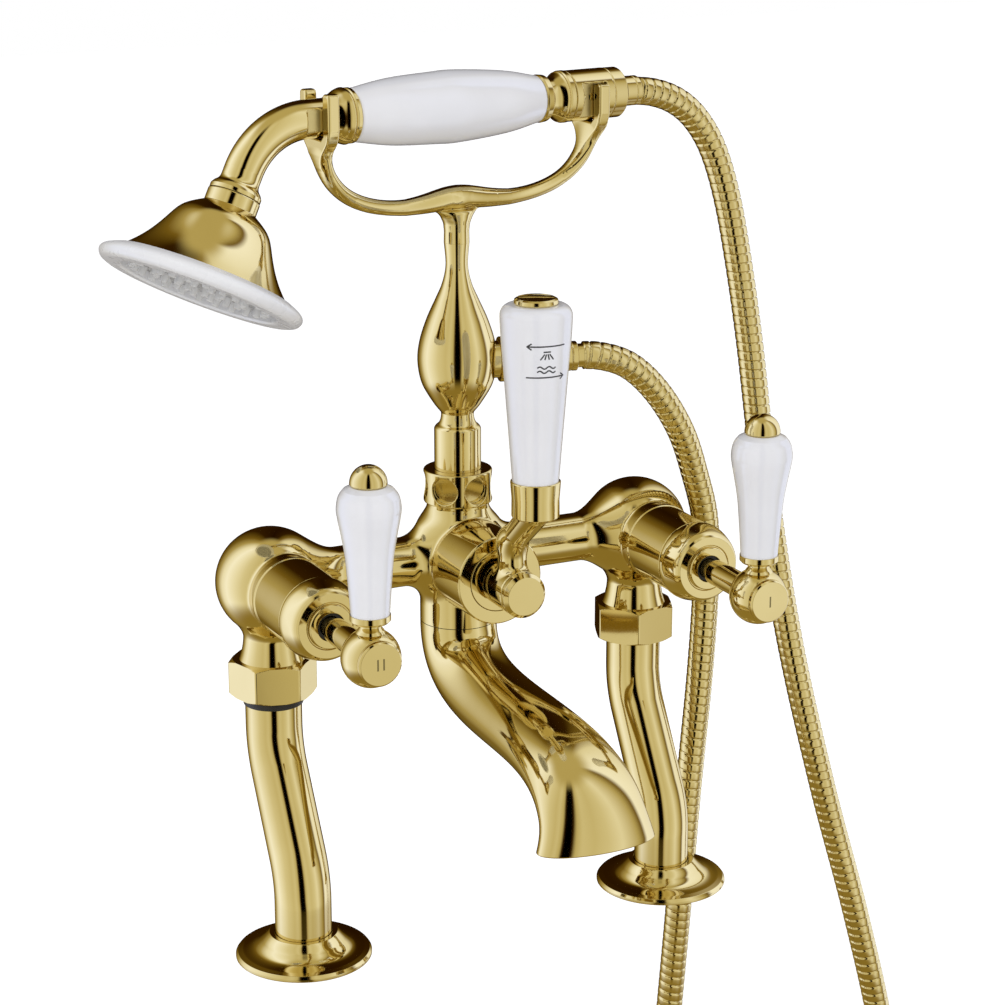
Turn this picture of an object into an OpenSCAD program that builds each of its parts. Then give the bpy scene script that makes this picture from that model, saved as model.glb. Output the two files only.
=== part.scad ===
// Deck mounted bath and shower mixer with a cradle handset, in millimetres.
// The origin is on the deck, midway between the two feet.
// X runs to the cold side, Y to the back and Z up.

/* [Layout] */
// Distance between the two deck holes
tap_centres = 180; // [160:1:200]
// How far the bar lies behind the feet
bar_set_back = 30; // [26:1:36]
// Height of the bar's axis above the deck
bar_height = 164; // [156:1:176]

/* [Bar and body] */
// Diameter of the bar
bar_d = 22; // [20:0.5:25]
// Diameter of the balls at the ends of the bar
ball_d = 48; // [46:0.5:50]
// Radius of the blend between bar and ball
ball_blend = 16; // [10:1:20]
// Diameter of the upright middle of the casting
body_d = 34.5; // [34:0.5:36]
// Radius of the blend between bar and middle
body_blend = 14; // [11:1:18]
// Diameter of the neck under the locking collar
neck_d = 27.6; // [27:0.2:29]
// Height of the neck's top above the bar's axis
neck_rise = 25; // [24:1:30]
// Depth of the spout joint below the bar's axis
body_drop = 30; // [27:1:34]
// Diameter of the diverter boss
boss_d = 40; // [38:0.5:42]
// How far the diverter boss stands forward of the bar's axis
boss_reach = 43; // [40:1:46]

/* [Inlet unions] */
// Diameter of the casting's tail at its waist
tail_d = 25; // [24:0.5:26]
// Diameter of the tail where it meets the nut
tail_flare_d = 29; // [28:0.5:29.5]
// Width of the union nut across its flats
nut_flats = 34; // [33.5:0.5:36]
// Height of the union nut
nut_h = 16.4; // [15.5:0.1:18]
// Depth of the nut's top below the bar's axis
nut_drop = 35; // [34:0.5:38]
// Turn of the hot nut's corners about its axis
hot_nut_turn = 44; // [0:1:59]
// Turn of the cold nut's corners about its axis
cold_nut_turn = 9; // [0:1:59]
// How far the hot seal ring has slipped down its leg
hot_seal_slip = 2.4; // [0:0.1:4]
// How far the cold seal ring has slipped down its leg
cold_seal_slip = 0; // [0:0.1:4]

/* [Legs] */
// Outside diameter of a leg
leg_d = 25; // [24:0.1:25.4]
// Water way through a leg
leg_bore = 16; // [13:0.5:17]
// Bore of the half inch inlet thread in the foot of a leg
inlet_bore = 18.6; // [18:0.1:20]
// Depth of the inlet thread
inlet_depth = 14; // [10:1:18]
// Straight length at the foot of a leg
leg_foot = 25; // [20:1:26]
// Slope of the leg between its two bends
leg_slope = 30; // [28:1:36]
// Radius of the leg's bends at its axis
leg_bend = 40; // [34:1:44]
// Diameter of the deck flange
flange_d = 60; // [54:1:66]
// Height of the deck flange
flange_h = 11; // [9:0.5:14]

/* [Valves] */
// Diameter of the valve shroud
bonnet_d = 34.4; // [33.5:0.1:35.5]
// Distance from the bar's axis to the back of the shroud
stub_reach = 23; // [22:0.5:25]
// Length of the shroud's straight part
bonnet_len = 31; // [28:0.5:34]
// Length of the shroud's rounded nose
nose_len = 13.5; // [11:0.5:16]
// Diameter of the cartridge body
cartridge_d = 22; // [20:0.5:23]
// Diameter of the valve spindles
spindle_d = 8.4; // [7:0.1:9]

/* [Valve levers] */
// Distance from the bar's axis to the lever's axis
hub_reach = 110; // [106:1:118]
// Diameter of the ball at the foot of a lever
hub_d = 24.6; // [24:0.2:27]
// Diameter of the neck behind the ball
hub_neck_d = 11.2; // [10.4:0.2:13]
// Diameter of the index cap
cap_d = 18.8; // [16:0.2:19.6]
// Height of the ceramic handle
handle_h = 54; // [45:1:70]
// Diameter at the foot of the ceramic handle
handle_foot_d = 15.8; // [14.5:0.2:17]
// Largest diameter of the ceramic handle
handle_top_d = 26; // [22:0.5:30]
// Diameter of the finial on the handle
finial_d = 15.2; // [13:0.2:17]
// Diameter of the rods that tie the handles together
tie_rod_d = 5; // [4:0.5:5.5]

/* [Diverter] */
// Diameter of the diverter hub
div_hub_d = 20; // [18:0.5:22]
// Length of the diverter hub without its cap
div_hub_len = 18; // [16:0.5:22]
// Gap between the boss face and the hub
div_gap = 3; // [2:0.5:5]
// How far the handle stands forward of the hub's middle
crank_reach = 22; // [18:0.5:26]
// Height of the ferrule's foot above the spindle
crank_rise = 38; // [35:0.5:44]
// Diameter of the ferrule under the handle
div_ferrule_d = 21.4; // [20.6:0.2:24]
// Height of the ferrule
div_ferrule_h = 16; // [12:0.5:20]
// Height of the diverter's ceramic handle
div_handle_h = 77; // [60:1:90]
// Diameter at the foot of the diverter handle
div_foot_d = 19.6; // [17:0.2:20]
// Largest diameter of the diverter handle
div_top_d = 30.2; // [26:0.2:34]
// Diameter of the button on the diverter handle
button_d = 18.6; // [16:0.2:22]

/* [Spout] */
// Distance from the body's axis to the middle of the mouth
spout_reach = 134; // [110:1:160]
// Drop from the spout joint to the mouth
spout_drop = 58; // [50:1:70]
// Width of the mouth
mouth_w = 54; // [44:1:64]
// Depth of the mouth from front to back
mouth_depth = 24.5; // [20:0.5:30]
// Wall of the spout
spout_wall = 2.2; // [1.6:0.1:3]

/* [Column] */
// Diameter of the locking collar
collar_d = 30.6; // [30:0.2:34]
// Height of the locking collar
collar_h = 15.2; // [14.4:0.2:18]
// Diameter of the spanner holes in the collar
spanner_hole_d = 11.8; // [9:0.2:12]
// Diameter of the sleeve above the collar
sleeve_d = 20.8; // [19.6:0.2:22]
// Height of the sleeve above the collar
sleeve_h = 19.5; // [17:0.5:24]
// Largest diameter of the pear shaped bulb
bulb_d = 35; // [32:0.5:40]
// Height of the bulb and its neck above the sleeve
bulb_h = 82; // [76:1:90]
// Bearing of the hose outlet from the cold side
outlet_bearing = -15; // [-24:1:0]
// Bearing of the cradle from the bar
cradle_turn = 6; // [0:1:10]

/* [Cradle] */
// Distance from the column to the head end hook
hook_head = 66; // [65:0.5:68]
// Distance from the column to the hose end hook
hook_hose = 68.5; // [67:0.5:69.5]
// Thickness of a hook along the handset
hook_t = 5.6; // [5:0.2:6]
// Gap between the two prongs of a hook
prong_gap = 14.4; // [13:0.2:15]
// Width of one prong
prong_w = 5.5; // [4.5:0.1:7]
// Height of the head end prongs above the handset's axis
head_prong_rise = 11; // [9:0.5:13]
// Height of the hose end prongs above the handset's axis
hose_prong_rise = 5.6; // [4:0.2:7]
// Rise from the fork's seam to the handset's axis
cradle_rise = 59; // [57:0.5:66]
// Diameter of the cradle's arms
arm_d = 6.4; // [5.6:0.2:8]

/* [Handset] */
// Diameter of the handset's tube
tube_d = 16.4; // [15.4:0.2:17.4]
// Length of the ceramic grip
grip_len = 92; // [89:0.5:93]
// Largest diameter of the grip
grip_d = 31; // [27:0.5:35]
// Diameter of the grip's head end
grip_head_d = 22.6; // [21:0.2:24]
// Diameter of the grip's hose end
grip_hose_d = 20.6; // [19:0.2:22]
// Length of the front ferrule
ferrule_len = 11; // [9:0.5:11]
// Largest diameter of the front ferrule
ferrule_d = 24; // [23:0.2:26]
// Diameter of the hose socket
socket_d = 22.4; // [21:0.2:24]
// Length of the hose socket
socket_len = 38.5; // [36:0.5:44]
// Bend radius of the neck at its axis
neck_bend = 36; // [32:1:40]

/* [Spray head] */
// Tilt of the spray face from level
head_tilt = 28; // [20:1:32]
// Turn of the head about the handset's axis, towards the front
head_roll = 7.5; // [0:0.5:12]
// Diameter of the collar over the bell
bell_collar_d = 22.4; // [20:0.2:24]
// Height of the bell
bell_h = 29.5; // [25:0.5:34]
// Diameter of the white rim
rim_d = 88; // [82:0.5:96]
// How far the rim stands out past the bell's mouth
rim_overhang = 8.3; // [7:0.1:9]
// Width of the rim about the spray face
rim_w = 10; // [8:0.5:11]
// Height of the white rim
rim_h = 8; // [7:0.5:10]
// Number of nozzles in the outer ring, with two thirds and one third inside it
nozzles = 24; // [12:3:30]

/* [Hose] */
// Outside diameter of the hose
hose_d = 12; // [11:0.2:12.4]
// Bore of the hose
hose_bore = 8; // [6:0.5:9]
// Depth of the groove between two ribs
rib_depth = 0.7; // [0.4:0.1:1.2]
// Number of ribs on each hanging run
ribs = 96; // [40:2:100]
// Length of each ribbed run
ribbed_run = 480; // [400:5:500]

/* [Fits] */
// Radial clearance of screwed and slipped on pieces
slip = 0.2; // [0.1:0.05:0.3]
// Radial clearance of the turning spindles
running = 0.05; // [0.03:0.01:0.1]
// Gap between the resting handset and its cradle
rest_gap = 0.3; // [0.2:0.05:0.5]

/* [Hidden] */

gold = [0.80, 0.66, 0.30];
gold_inside = [0.70, 0.57, 0.27];
white_ceramic = [0.95, 0.95, 0.96];
white_plastic = [0.93, 0.93, 0.94];
clear_silicone = [0.85, 0.86, 0.86];
black_rubber = [0.06, 0.06, 0.06];
red_fibre = [0.45, 0.20, 0.15];

round_n = 72;

// Radii of the turned pieces
bar_r = bar_d / 2;
ball_r = ball_d / 2;
body_r = body_d / 2;
neck_r = neck_d / 2;
boss_r = boss_d / 2;
tail_r = tail_d / 2;
flare_r = tail_flare_d / 2;
leg_r = leg_d / 2;
flange_r = flange_d / 2;
bonnet_r = bonnet_d / 2;
cartridge_r = cartridge_d / 2;
spindle_r = spindle_d / 2;
hub_r = hub_d / 2;
hub_neck_r = hub_neck_d / 2;
cap_r = cap_d / 2;
foot_r = handle_foot_d / 2;
top_r = handle_top_d / 2;
finial_r = finial_d / 2;
rod_r = tie_rod_d / 2;
div_hub_r = div_hub_d / 2;
div_ferrule_r = div_ferrule_d / 2;
div_foot_r = div_foot_d / 2;
div_top_r = div_top_d / 2;
button_r = button_d / 2;
collar_r = collar_d / 2;
sleeve_r = sleeve_d / 2;
bulb_r = bulb_d / 2;
tube_r = tube_d / 2;
grip_r = grip_d / 2;
ferrule_r = ferrule_d / 2;
socket_r = socket_d / 2;
bell_collar_r = bell_collar_d / 2;
rim_r = rim_d / 2;
bell_r = rim_r - rim_overhang;
face_r = rim_r - rim_w;
hose_r = hose_d / 2;

// Places that several pieces share
side_x = tap_centres / 2;
bar_y = bar_set_back;
bar_z = bar_height;
joint_z = bar_z - body_drop;
neck_top_z = bar_z + neck_rise;
collar_top_z = neck_top_z + collar_h;
sleeve_top_z = collar_top_z + sleeve_h;
seam_z = sleeve_top_z + bulb_h;
handset_z = seam_z + cradle_rise;

// Union: the nut hangs on the leg's collar and screws up onto the tail
washer_t = 1;
leg_collar_t = 3;
leg_collar_r = flare_r - 0.5;
tail_thread_r = flare_r - 0.3;
tail_thread_len = 7;
tail_end_z = bar_z - nut_drop - tail_thread_len;
leg_top_z = tail_end_z - washer_t;
nut_top_z = bar_z - nut_drop;
nut_foot_z = nut_top_z - nut_h;
seal_h = 2.6;
seal_r = leg_r + 0.7;

// Valve inside, as distances forward of the bar's axis
spigot_len = 15;
spigot_r = cartridge_r + 2.8;
spigot_end = stub_reach + spigot_len;
cartridge_back = 9;
cartridge_flange_t = 3;
cartridge_flange_r = spigot_r - 0.8;
cartridge_neck_r = spindle_r + 3.6;
bonnet_straight_end = stub_reach + bonnet_len;
bonnet_end = bonnet_straight_end + nose_len;
bonnet_lip = 1.5;
bonnet_hole_r = spindle_r + 1.8;
cartridge_end = bonnet_end - 10;
spindle_back = cartridge_back + 12;
hub_neck_back = bonnet_end + bonnet_lip + 7;
cap_seat = hub_reach + hub_r * 0.36;
cap_front = hub_reach + hub_r * 0.83;

// Lever heights above the spindle's axis
lever_flange_z = hub_r + 2.7;
lever_flange_t = 3.4;
handle_dish = 0.9;
handle_z = lever_flange_z + lever_flange_t - handle_dish;
handle_top_z = handle_z + handle_h;
rod_depth = 7;

// Diverter, as distances forward of the bar's axis
div_bore_r = boss_r - 6;
socket_bore_r = 8;
port_wall = 1;
div_bore_depth = boss_reach - socket_bore_r - port_wall;
div_plate_t = 4;
div_spindle_r = 5;
div_hub_back = boss_reach + div_gap;
div_hub_front = div_hub_back + div_hub_len;
div_cap_len = 4.5;
div_arm_at = div_hub_back + div_hub_len / 2;
div_handle_at = div_arm_at + crank_reach;
div_knee_z = crank_rise * 0.56;
div_arm_r = 7.2;
div_knee_r = 5.6;
div_dish = 1.6;
div_handle_z = crank_rise + div_ferrule_h - div_dish;
div_handle_top_z = div_handle_z + div_handle_h;

// Column
stem_r = socket_bore_r - running;
stem_len = 16;
riser_flange_r = sleeve_r + 1.8;
riser_flange_t = 3;
outlet_z = sleeve_top_z + 29;
boss_out_r = 8.2;
outlet_boss_end = bulb_r + 6;
outlet_nut_end = outlet_boss_end + 13;
outlet_ferrule_end = outlet_nut_end + 17;
outlet_hose_start = outlet_nut_end + washer_t;

// Handset stations along its axis, from the column, positive to the hose end
grip_head = -51.5;
grip_end = grip_head + grip_len;
end_ring_t = 3.4;
socket_start = grip_end + end_ring_t;
socket_end = socket_start + socket_len;
ferrule_wall = 0.75;
ferrule_bore_r = hose_r - rib_depth + 0.55;
hose_ferrule_r = ferrule_bore_r + ferrule_wall;
hose_ferrule_end = socket_end + 10.5;
hose_start = socket_end - 7;
neck_start = grip_head - 1;
bend_start = -hook_head - 5.5;
flat_half = prong_gap / 2 - slip;
notch_len = hook_t + 7;
rod_tube_r = 5;

// Spray head, along its own axis from the end of the neck's bend
bead_at = 8;
collar_start = bead_at + 2.5;
bell_start = collar_start + 5.5;
bell_end = bell_start + bell_h;
bell_wall = 1.6;
plate_t = 2;
plate_at = bell_end + 1.4;
nozzle_r = 1.9;
nozzle_h = rim_h - 4.2;
nozzle_ring = face_r - 5;
plate_lap = 1.6;

// Hose route between its two fixed ends, chosen by hand from the handset down and up to the outlet
hose_route_points = [[102, 41, 363], [115, 42, 358], [126, 43, 349], [135, 43, 335], [142, 42, 314],
    [148, 41, 286], [155, 39, 242], [163, 33, 168], [173, 24, 96], [188, 15, 24], [206, 9, -44],
    [222, 5, -112], [231, 3, -180], [234, 5, -242], [233, 8, -296], [225, 11, -325],
    [203, 16, -347], [172, 21, -355], [141, 27, -347], [119, 32, -325], [111, 35, -296],
    [110, 36, -242], [111, 36, -176], [114, 34, -108], [118, 32, -40], [122, 31, 26],
    [126, 29, 88], [127, 27, 134], [124, 24, 165], [116, 21, 190], [106, 17, 212], [92, 14, 232],
    [77, 13, 246], [62, 14, 252]];

// Places a point at a distance and bearing from the column's axis
function about_column(distance, bearing, z) =
    [distance * cos(bearing), bar_y + distance * sin(bearing), z];

// Points of an arc about a centre
function arc(centre, r, from, to, n = 14) =
    [for (i = [0:n]) let (a = from + (to - from) * i / n) centre + r * [cos(a), sin(a)]];

// One point of a smooth curve between p1 and p2
function spline_point(p0, p1, p2, p3, t) =
    ((2 * p1) + (p2 - p0) * t + (2 * p0 - 5 * p1 + 4 * p2 - p3) * t * t
    + (3 * p1 - p0 - 3 * p2 + p3) * t * t * t) / 2;

// A smooth curve through every point of a list
function smooth(p, n = 5) = concat(
    [for (i = [0:len(p) - 2], k = [0:n - 1])
        spline_point(p[max(i - 1, 0)], p[i], p[i + 1], p[min(i + 2, len(p) - 1)], k / n)],
    [p[len(p) - 1]]);

// One point of a cubic curve
function bezier(p, t) = p[0] * (1 - t) ^ 3 + p[1] * 3 * t * (1 - t) ^ 2
    + p[2] * 3 * t * t * (1 - t) + p[3] * t ^ 3;

// Direction of a cubic curve
function bezier_way(p, t) = unit((p[1] - p[0]) * (1 - t) ^ 2 + (p[2] - p[1]) * 2 * t * (1 - t)
    + (p[3] - p[2]) * t * t);

function unit(v) = v / norm(v);

// Value between the stops of a list of [place, value], eased along straight lines
function stops(t, list) = lookup(t, list);

// The points of one ring about a centre, from its two half axes
function ring(centre, u, v, n) = [for (i = [0:n - 1]) centre + u * cos(360 * i / n) + v * sin(360 * i / n)];

// Two triangles for each side between the rings that start at points a and b
function band(a, b, n) = [for (j = [0:n - 1]) let (k = (j + 1) % n)
    each [[a + j, b + k, a + k], [a + j, b + j, b + k]]];

function flat(lists) = [for (list = lists) each list];

// A closed solid through a list of rings
module swept(rings) {
    n = len(rings[0]);
    last = (len(rings) - 1) * n;
    polyhedron(flat(rings), concat(
        [for (i = [0:len(rings) - 2]) each band(i * n, (i + 1) * n, n)],
        [for (j = [1:n - 2]) [0, j, j + 1]],
        [for (j = [1:n - 2]) [last, last + j + 1, last + j]]));
}

// A tube between outer and inner rings, open at both ends
module pipe(outer, inner) {
    n = len(outer[0]);
    rings = concat(outer, [for (i = [len(inner) - 1:-1:0]) inner[i]]);
    count = len(rings);
    polyhedron(flat(rings), [for (i = [0:count - 1]) each band(i * n, ((i + 1) % count) * n, n)]);
}

// A solid of revolution from an outline of [radius, height] points, closed to the axis
module turned(outline) {
    rotate_extrude($fn = round_n)
        polygon(concat([[0, outline[0][1]]], outline, [[0, outline[len(outline) - 1][1]]]));
}

// A ring of revolution from a closed outline
module turned_ring(outline) {
    rotate_extrude($fn = round_n) polygon(outline);
}

// A plain ring between two radii
module washer_ring(inner, outer, h) {
    turned_ring([[inner, 0], [outer, 0], [outer, h], [inner, h]]);
}

// The frame of a valve or the diverter: the axis runs forward from the bar
module forward(side) {
    translate([side * side_x, bar_y, bar_z]) rotate([90, 0, 0]) children();
}

// The frame of a lever: upright above its spindle's axis
module upright(side, reach) {
    translate([side * side_x, bar_y - reach, bar_z]) children();
}

// The frame of one inlet, upright on the bar's end
module inlet(side) {
    translate([side * side_x, bar_y, 0]) children();
}

// The frame of the cradle and handset: X along the handset to its hose end
module cradle_frame() {
    translate([0, bar_y, 0]) rotate([0, 0, cradle_turn]) children();
}

// The handset's axis, turned so that the outlines' heights run to the hose end
module handset_axis() {
    cradle_frame() translate([0, 0, handset_z]) rotate([0, 90, 0]) children();
}

// The hose outlet's axis, running out of the bulb
module outlet_axis() {
    translate([0, bar_y, outlet_z]) rotate([0, 0, outlet_bearing]) rotate([0, 90, 0]) children();
}

// The plane of the neck's bend, rolled about the handset's axis
module neck_plane() {
    cradle_frame() translate([0, 0, handset_z]) rotate([-head_roll, 0, 0]) children();
}

// The spray head's axis, running out of the neck's bend
module head_axis() {
    turn = 90 - head_tilt;
    neck_plane()
        translate([bend_start - neck_bend * sin(turn), 0, -neck_bend * (1 - cos(turn))])
        rotate([0, 180 + head_tilt, 0]) children();
}

// Half of the bar's outline from the middle to the pole of the end ball
function bar_half() = let (
    dive = 0.8,
    flare_c = bar_r + body_blend,
    flare_a = acos((flare_c - body_r + dive) / body_blend),
    flare_x = body_r - dive + body_blend * sin(flare_a),
    fillet_c = bar_r + ball_blend,
    fillet_x = side_x - sqrt((ball_r + ball_blend) ^ 2 - fillet_c ^ 2),
    meet = atan2(side_x - fillet_x, -fillet_c)
) concat(
    [[body_r - dive, 0]],
    arc([flare_c, flare_x], body_blend, 180 + flare_a, 180),
    arc([fillet_c, fillet_x], ball_blend, 180, meet),
    arc([0, side_x], ball_r, meet - 180, 90, 24));

// The whole bar with its balls, about its own axis
module bar_form() {
    half = bar_half();
    mirrored = [for (i = [len(half) - 1:-1:1]) [half[i][0], -half[i][1]]];
    translate([0, bar_y, bar_z]) rotate([0, 90, 0]) turned(concat(mirrored, half));
}

// Outline of a tail from the ball down to the end of its thread
function tail_outline() = let (
    blend = 8,
    blend_c = tail_r + blend,
    bite = 0.5,
    waist = sqrt((ball_r + blend - bite) ^ 2 - blend_c ^ 2),
    meet = atan2(waist, -blend_c),
    rise = nut_drop - waist,
    widen = flare_r - tail_r,
    flare = (rise ^ 2 + widen ^ 2) / (2 * widen)
) concat(
    arc([blend_c, -waist], blend, meet, 180, 10),
    arc([tail_r + flare, -waist], flare, 180, 180 + asin(rise / flare), 8),
    [[tail_thread_r, -nut_drop], [tail_thread_r, -nut_drop - tail_thread_len]]);

// Upright middle of the casting, from the spout joint to the neck's top
module middle_form() {
    shoulder = 8;
    translate([0, bar_y, bar_z]) turned(concat(
        [[body_r, -body_drop], [body_r, bar_r]],
        arc([neck_r + shoulder, neck_rise - 1], shoulder,
            180 + acos((shoulder + neck_r - body_r) / shoulder), 180, 8),
        [[neck_r, neck_rise]]));
}

module casting_form() {
    bar_form();
    middle_form();
    forward(0) turned([[body_r - 3, 2], [boss_r, body_r - 1], [boss_r, boss_reach - 0.6],
        [boss_r - 0.6, boss_reach]]);
    for (side = [-1, 1]) {
        inlet(side) translate([0, 0, bar_z]) turned(tail_outline());
        forward(side) {
            cylinder(r = bonnet_r - 0.4, h = stub_reach, $fn = round_n);
            cylinder(r = spigot_r, h = spigot_end, $fn = round_n);
        }
    }
}

module body_casting() {
    outlet_bore_r = body_r - 4;
    color(gold) difference() {
        casting_form();
        for (side = [-1, 1]) {
            forward(side) translate([0, 0, cartridge_back])
                cylinder(r = cartridge_r + running, h = spigot_len + stub_reach, $fn = round_n);
            inlet(side) translate([0, 0, tail_end_z - 1])
                cylinder(d = leg_bore, h = bar_z - tail_end_z, $fn = round_n);
        }
        forward(0) translate([0, 0, boss_reach - div_bore_depth])
            cylinder(r = div_bore_r, h = div_bore_depth + 1, $fn = round_n);
        translate([0, bar_y, joint_z - 1])
            cylinder(r = outlet_bore_r, h = body_drop - div_bore_r + 6, $fn = round_n);
        translate([0, bar_y, neck_top_z - stem_len - washer_t])
            cylinder(r = socket_bore_r, h = stem_len + washer_t + 1, $fn = round_n);
    }
}

// Spout: an S shaped loft that widens from the round joint to a broad lipped mouth
spout_seal_t = 0.8;
spout_path = [[0, 0], [0, -53], [-spout_reach + 5, -1], [-spout_reach, -spout_drop]];
spout_steps = 22;
spout_sides = 28;
lip_flare = 1.6;

function spout_ring(t, inset) = let (
    way = bezier_way(spout_path, t),
    at = bezier(spout_path, t),
    lip = lip_flare * max(0, (t - 0.9) / 0.1) ^ 2,
    half_w = body_r + (mouth_w / 2 - body_r - lip_flare) * t ^ 2.2 + lip - inset,
    half_d = body_r + (mouth_depth / 2 - body_r) * t ^ 1.2 + lip / 2 - inset
) ring([0, bar_y + at[0], joint_z - spout_seal_t + at[1]], [half_w, 0, 0],
    [0, way[1], -way[0]] * half_d, spout_sides);

module spout() {
    color(gold) pipe(
        [for (i = [0:spout_steps]) spout_ring(i / spout_steps, 0)],
        [for (i = [0:spout_steps]) spout_ring(i / spout_steps, spout_wall)]);
}

module spout_seal() {
    color(black_rubber) translate([0, bar_y, joint_z - spout_seal_t])
        washer_ring(body_r - 3.8, body_r - 0.5, spout_seal_t);
}

// Leg: straight foot, two bends and a straight top, with a clamped collar
leg_run = (bar_set_back - 2 * leg_bend * (1 - cos(leg_slope))) / sin(leg_slope);

module leg_bend_piece(r) {
    rotate_extrude(angle = leg_slope, $fn = round_n) translate([leg_bend, 0]) circle(r = r, $fn = round_n);
}

// The bends are a hair larger than the straight lengths, which run a little way into them
module leg_path(r, top) {
    hair = 0.03;
    lap = 1.2;
    knee_y = leg_bend * (1 - cos(leg_slope));
    knee_z = leg_foot + leg_bend * sin(leg_slope);
    upper_end_z = knee_z + leg_run * cos(leg_slope) + leg_bend * sin(leg_slope);
    cylinder(r = r, h = leg_foot + lap, $fn = round_n);
    translate([0, leg_bend, leg_foot]) rotate([90, 0, -90]) leg_bend_piece(r + hair);
    translate([0, knee_y, knee_z]) rotate([-leg_slope, 0, 0]) translate([0, 0, -lap])
        cylinder(r = r, h = leg_run + 2 * lap, $fn = round_n);
    translate([0, bar_set_back - leg_bend, upper_end_z]) rotate([90, 0, 90]) rotate([0, 0, -leg_slope])
        leg_bend_piece(r + hair);
    translate([0, bar_set_back, upper_end_z - lap])
        cylinder(r = r, h = top - upper_end_z + lap, $fn = round_n);
}

module leg(side) {
    color(gold) translate([side * side_x, 0, 0]) difference() {
        union() {
            leg_path(leg_r, leg_top_z);
            translate([0, bar_set_back, leg_top_z - leg_collar_t])
                cylinder(r = leg_collar_r, h = leg_collar_t, $fn = round_n);
        }
        leg_path(leg_bore / 2, leg_top_z + 1);
        translate([0, 0, -1]) cylinder(d = inlet_bore, h = inlet_depth + 1, $fn = round_n);
    }
}

module hot_leg() {
    leg(-1);
}

module cold_leg() {
    leg(1);
}

// Deck flange: a thin rim that sweeps up to a round lip about the leg
module flange(side) {
    hole = leg_r + slip;
    lip = leg_r + 3.3;
    color(gold) translate([side * side_x, 0, 0]) turned_ring(concat(
        [[hole, 0], [flange_r, 0], [flange_r, 1.4], [flange_r - 0.9, 2.6]],
        smooth([[flange_r - 3, 3.2], [flange_r - 8, 4.6], [lip + 2.6, flange_h - 3.6],
            [lip + 0.5, flange_h - 1.4]], 6),
        [[lip, flange_h - 0.8], [lip - 0.8, flange_h], [hole, flange_h]]));
}

module hot_flange() {
    flange(-1);
}

module cold_flange() {
    flange(1);
}

// Union nut: a chamfered hexagon with a lip that lifts the leg's collar
module union_nut(side, turn) {
    corner_r = nut_flats / 2 / cos(30);
    seal_pocket = 2.6;
    lip_top = leg_top_z - leg_collar_t - nut_foot_z;
    chamfer = 2.2;
    color(gold) inlet(side) translate([0, 0, nut_foot_z]) rotate([0, 0, turn]) difference() {
        intersection() {
            cylinder(r = corner_r, h = nut_h, $fn = 6);
            turned([[corner_r - chamfer, 0], [corner_r, chamfer * 0.6], [corner_r, nut_h - chamfer * 0.6],
                [corner_r - chamfer, nut_h]]);
        }
        translate([0, 0, lip_top]) cylinder(r = tail_thread_r + slip / 2, h = nut_h, $fn = round_n);
        translate([0, 0, -1]) cylinder(r = leg_r + slip, h = nut_h, $fn = round_n);
        translate([0, 0, -1]) cylinder(r = seal_r + slip, h = seal_pocket + 1, $fn = round_n);
    }
}

module hot_union_nut() {
    union_nut(-1, hot_nut_turn);
}

module cold_union_nut() {
    union_nut(1, cold_nut_turn);
}

module leg_seal(side, slipped) {
    color(black_rubber) inlet(side) translate([0, 0, nut_foot_z - slipped])
        washer_ring(leg_r + running, seal_r, seal_h);
}

module hot_leg_seal() {
    leg_seal(-1, hot_seal_slip);
}

module cold_leg_seal() {
    leg_seal(1, cold_seal_slip);
}

module leg_washer(side) {
    color(red_fibre) inlet(side) translate([0, 0, leg_top_z])
        washer_ring(leg_bore / 2 + 0.5, leg_collar_r - 0.4, washer_t);
}

module hot_leg_washer() {
    leg_washer(-1);
}

module cold_leg_washer() {
    leg_washer(1);
}

// Valve shroud: a turned sleeve with a rear ring, a beaded joint and a rounded nose
module bonnet(side) {
    bead = bonnet_straight_end + 0.8;
    nose_r = bonnet_r - 2.4;
    ring_r = bonnet_hole_r + 3.6;
    color(gold) forward(side) turned_ring(concat(
        [[spigot_r + slip, stub_reach], [bonnet_r - 0.3, stub_reach], [bonnet_r + 0.4, stub_reach + 0.7],
            [bonnet_r + 0.4, stub_reach + 2.2], [bonnet_r, stub_reach + 2.8], [bonnet_r, bead - 1.4],
            [bonnet_r - 0.5, bead - 0.9], [bonnet_r - 0.5, bead - 0.5], [bonnet_r + 0.5, bead]],
        smooth([[bonnet_r + 0.6, bead + 1.2], [bonnet_r + 0.3, bead + 4], [nose_r + 1.2, bonnet_end - 3],
            [nose_r, bonnet_end - 0.8]], 6),
        [[nose_r - 0.8, bonnet_end], [ring_r + 0.8, bonnet_end], [ring_r + 0.7, bonnet_end - 0.7],
            [ring_r, bonnet_end - 0.7], [ring_r, bonnet_end + bonnet_lip - 0.4],
            [ring_r - 0.4, bonnet_end + bonnet_lip], [bonnet_hole_r, bonnet_end + bonnet_lip],
            [bonnet_hole_r, cartridge_end + 2], [cartridge_neck_r + slip, cartridge_end + 2],
            [cartridge_neck_r + slip, spigot_end + cartridge_flange_t],
            [spigot_r + slip, spigot_end + cartridge_flange_t]]));
}

module hot_bonnet() {
    bonnet(-1);
}

module cold_bonnet() {
    bonnet(1);
}

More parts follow.
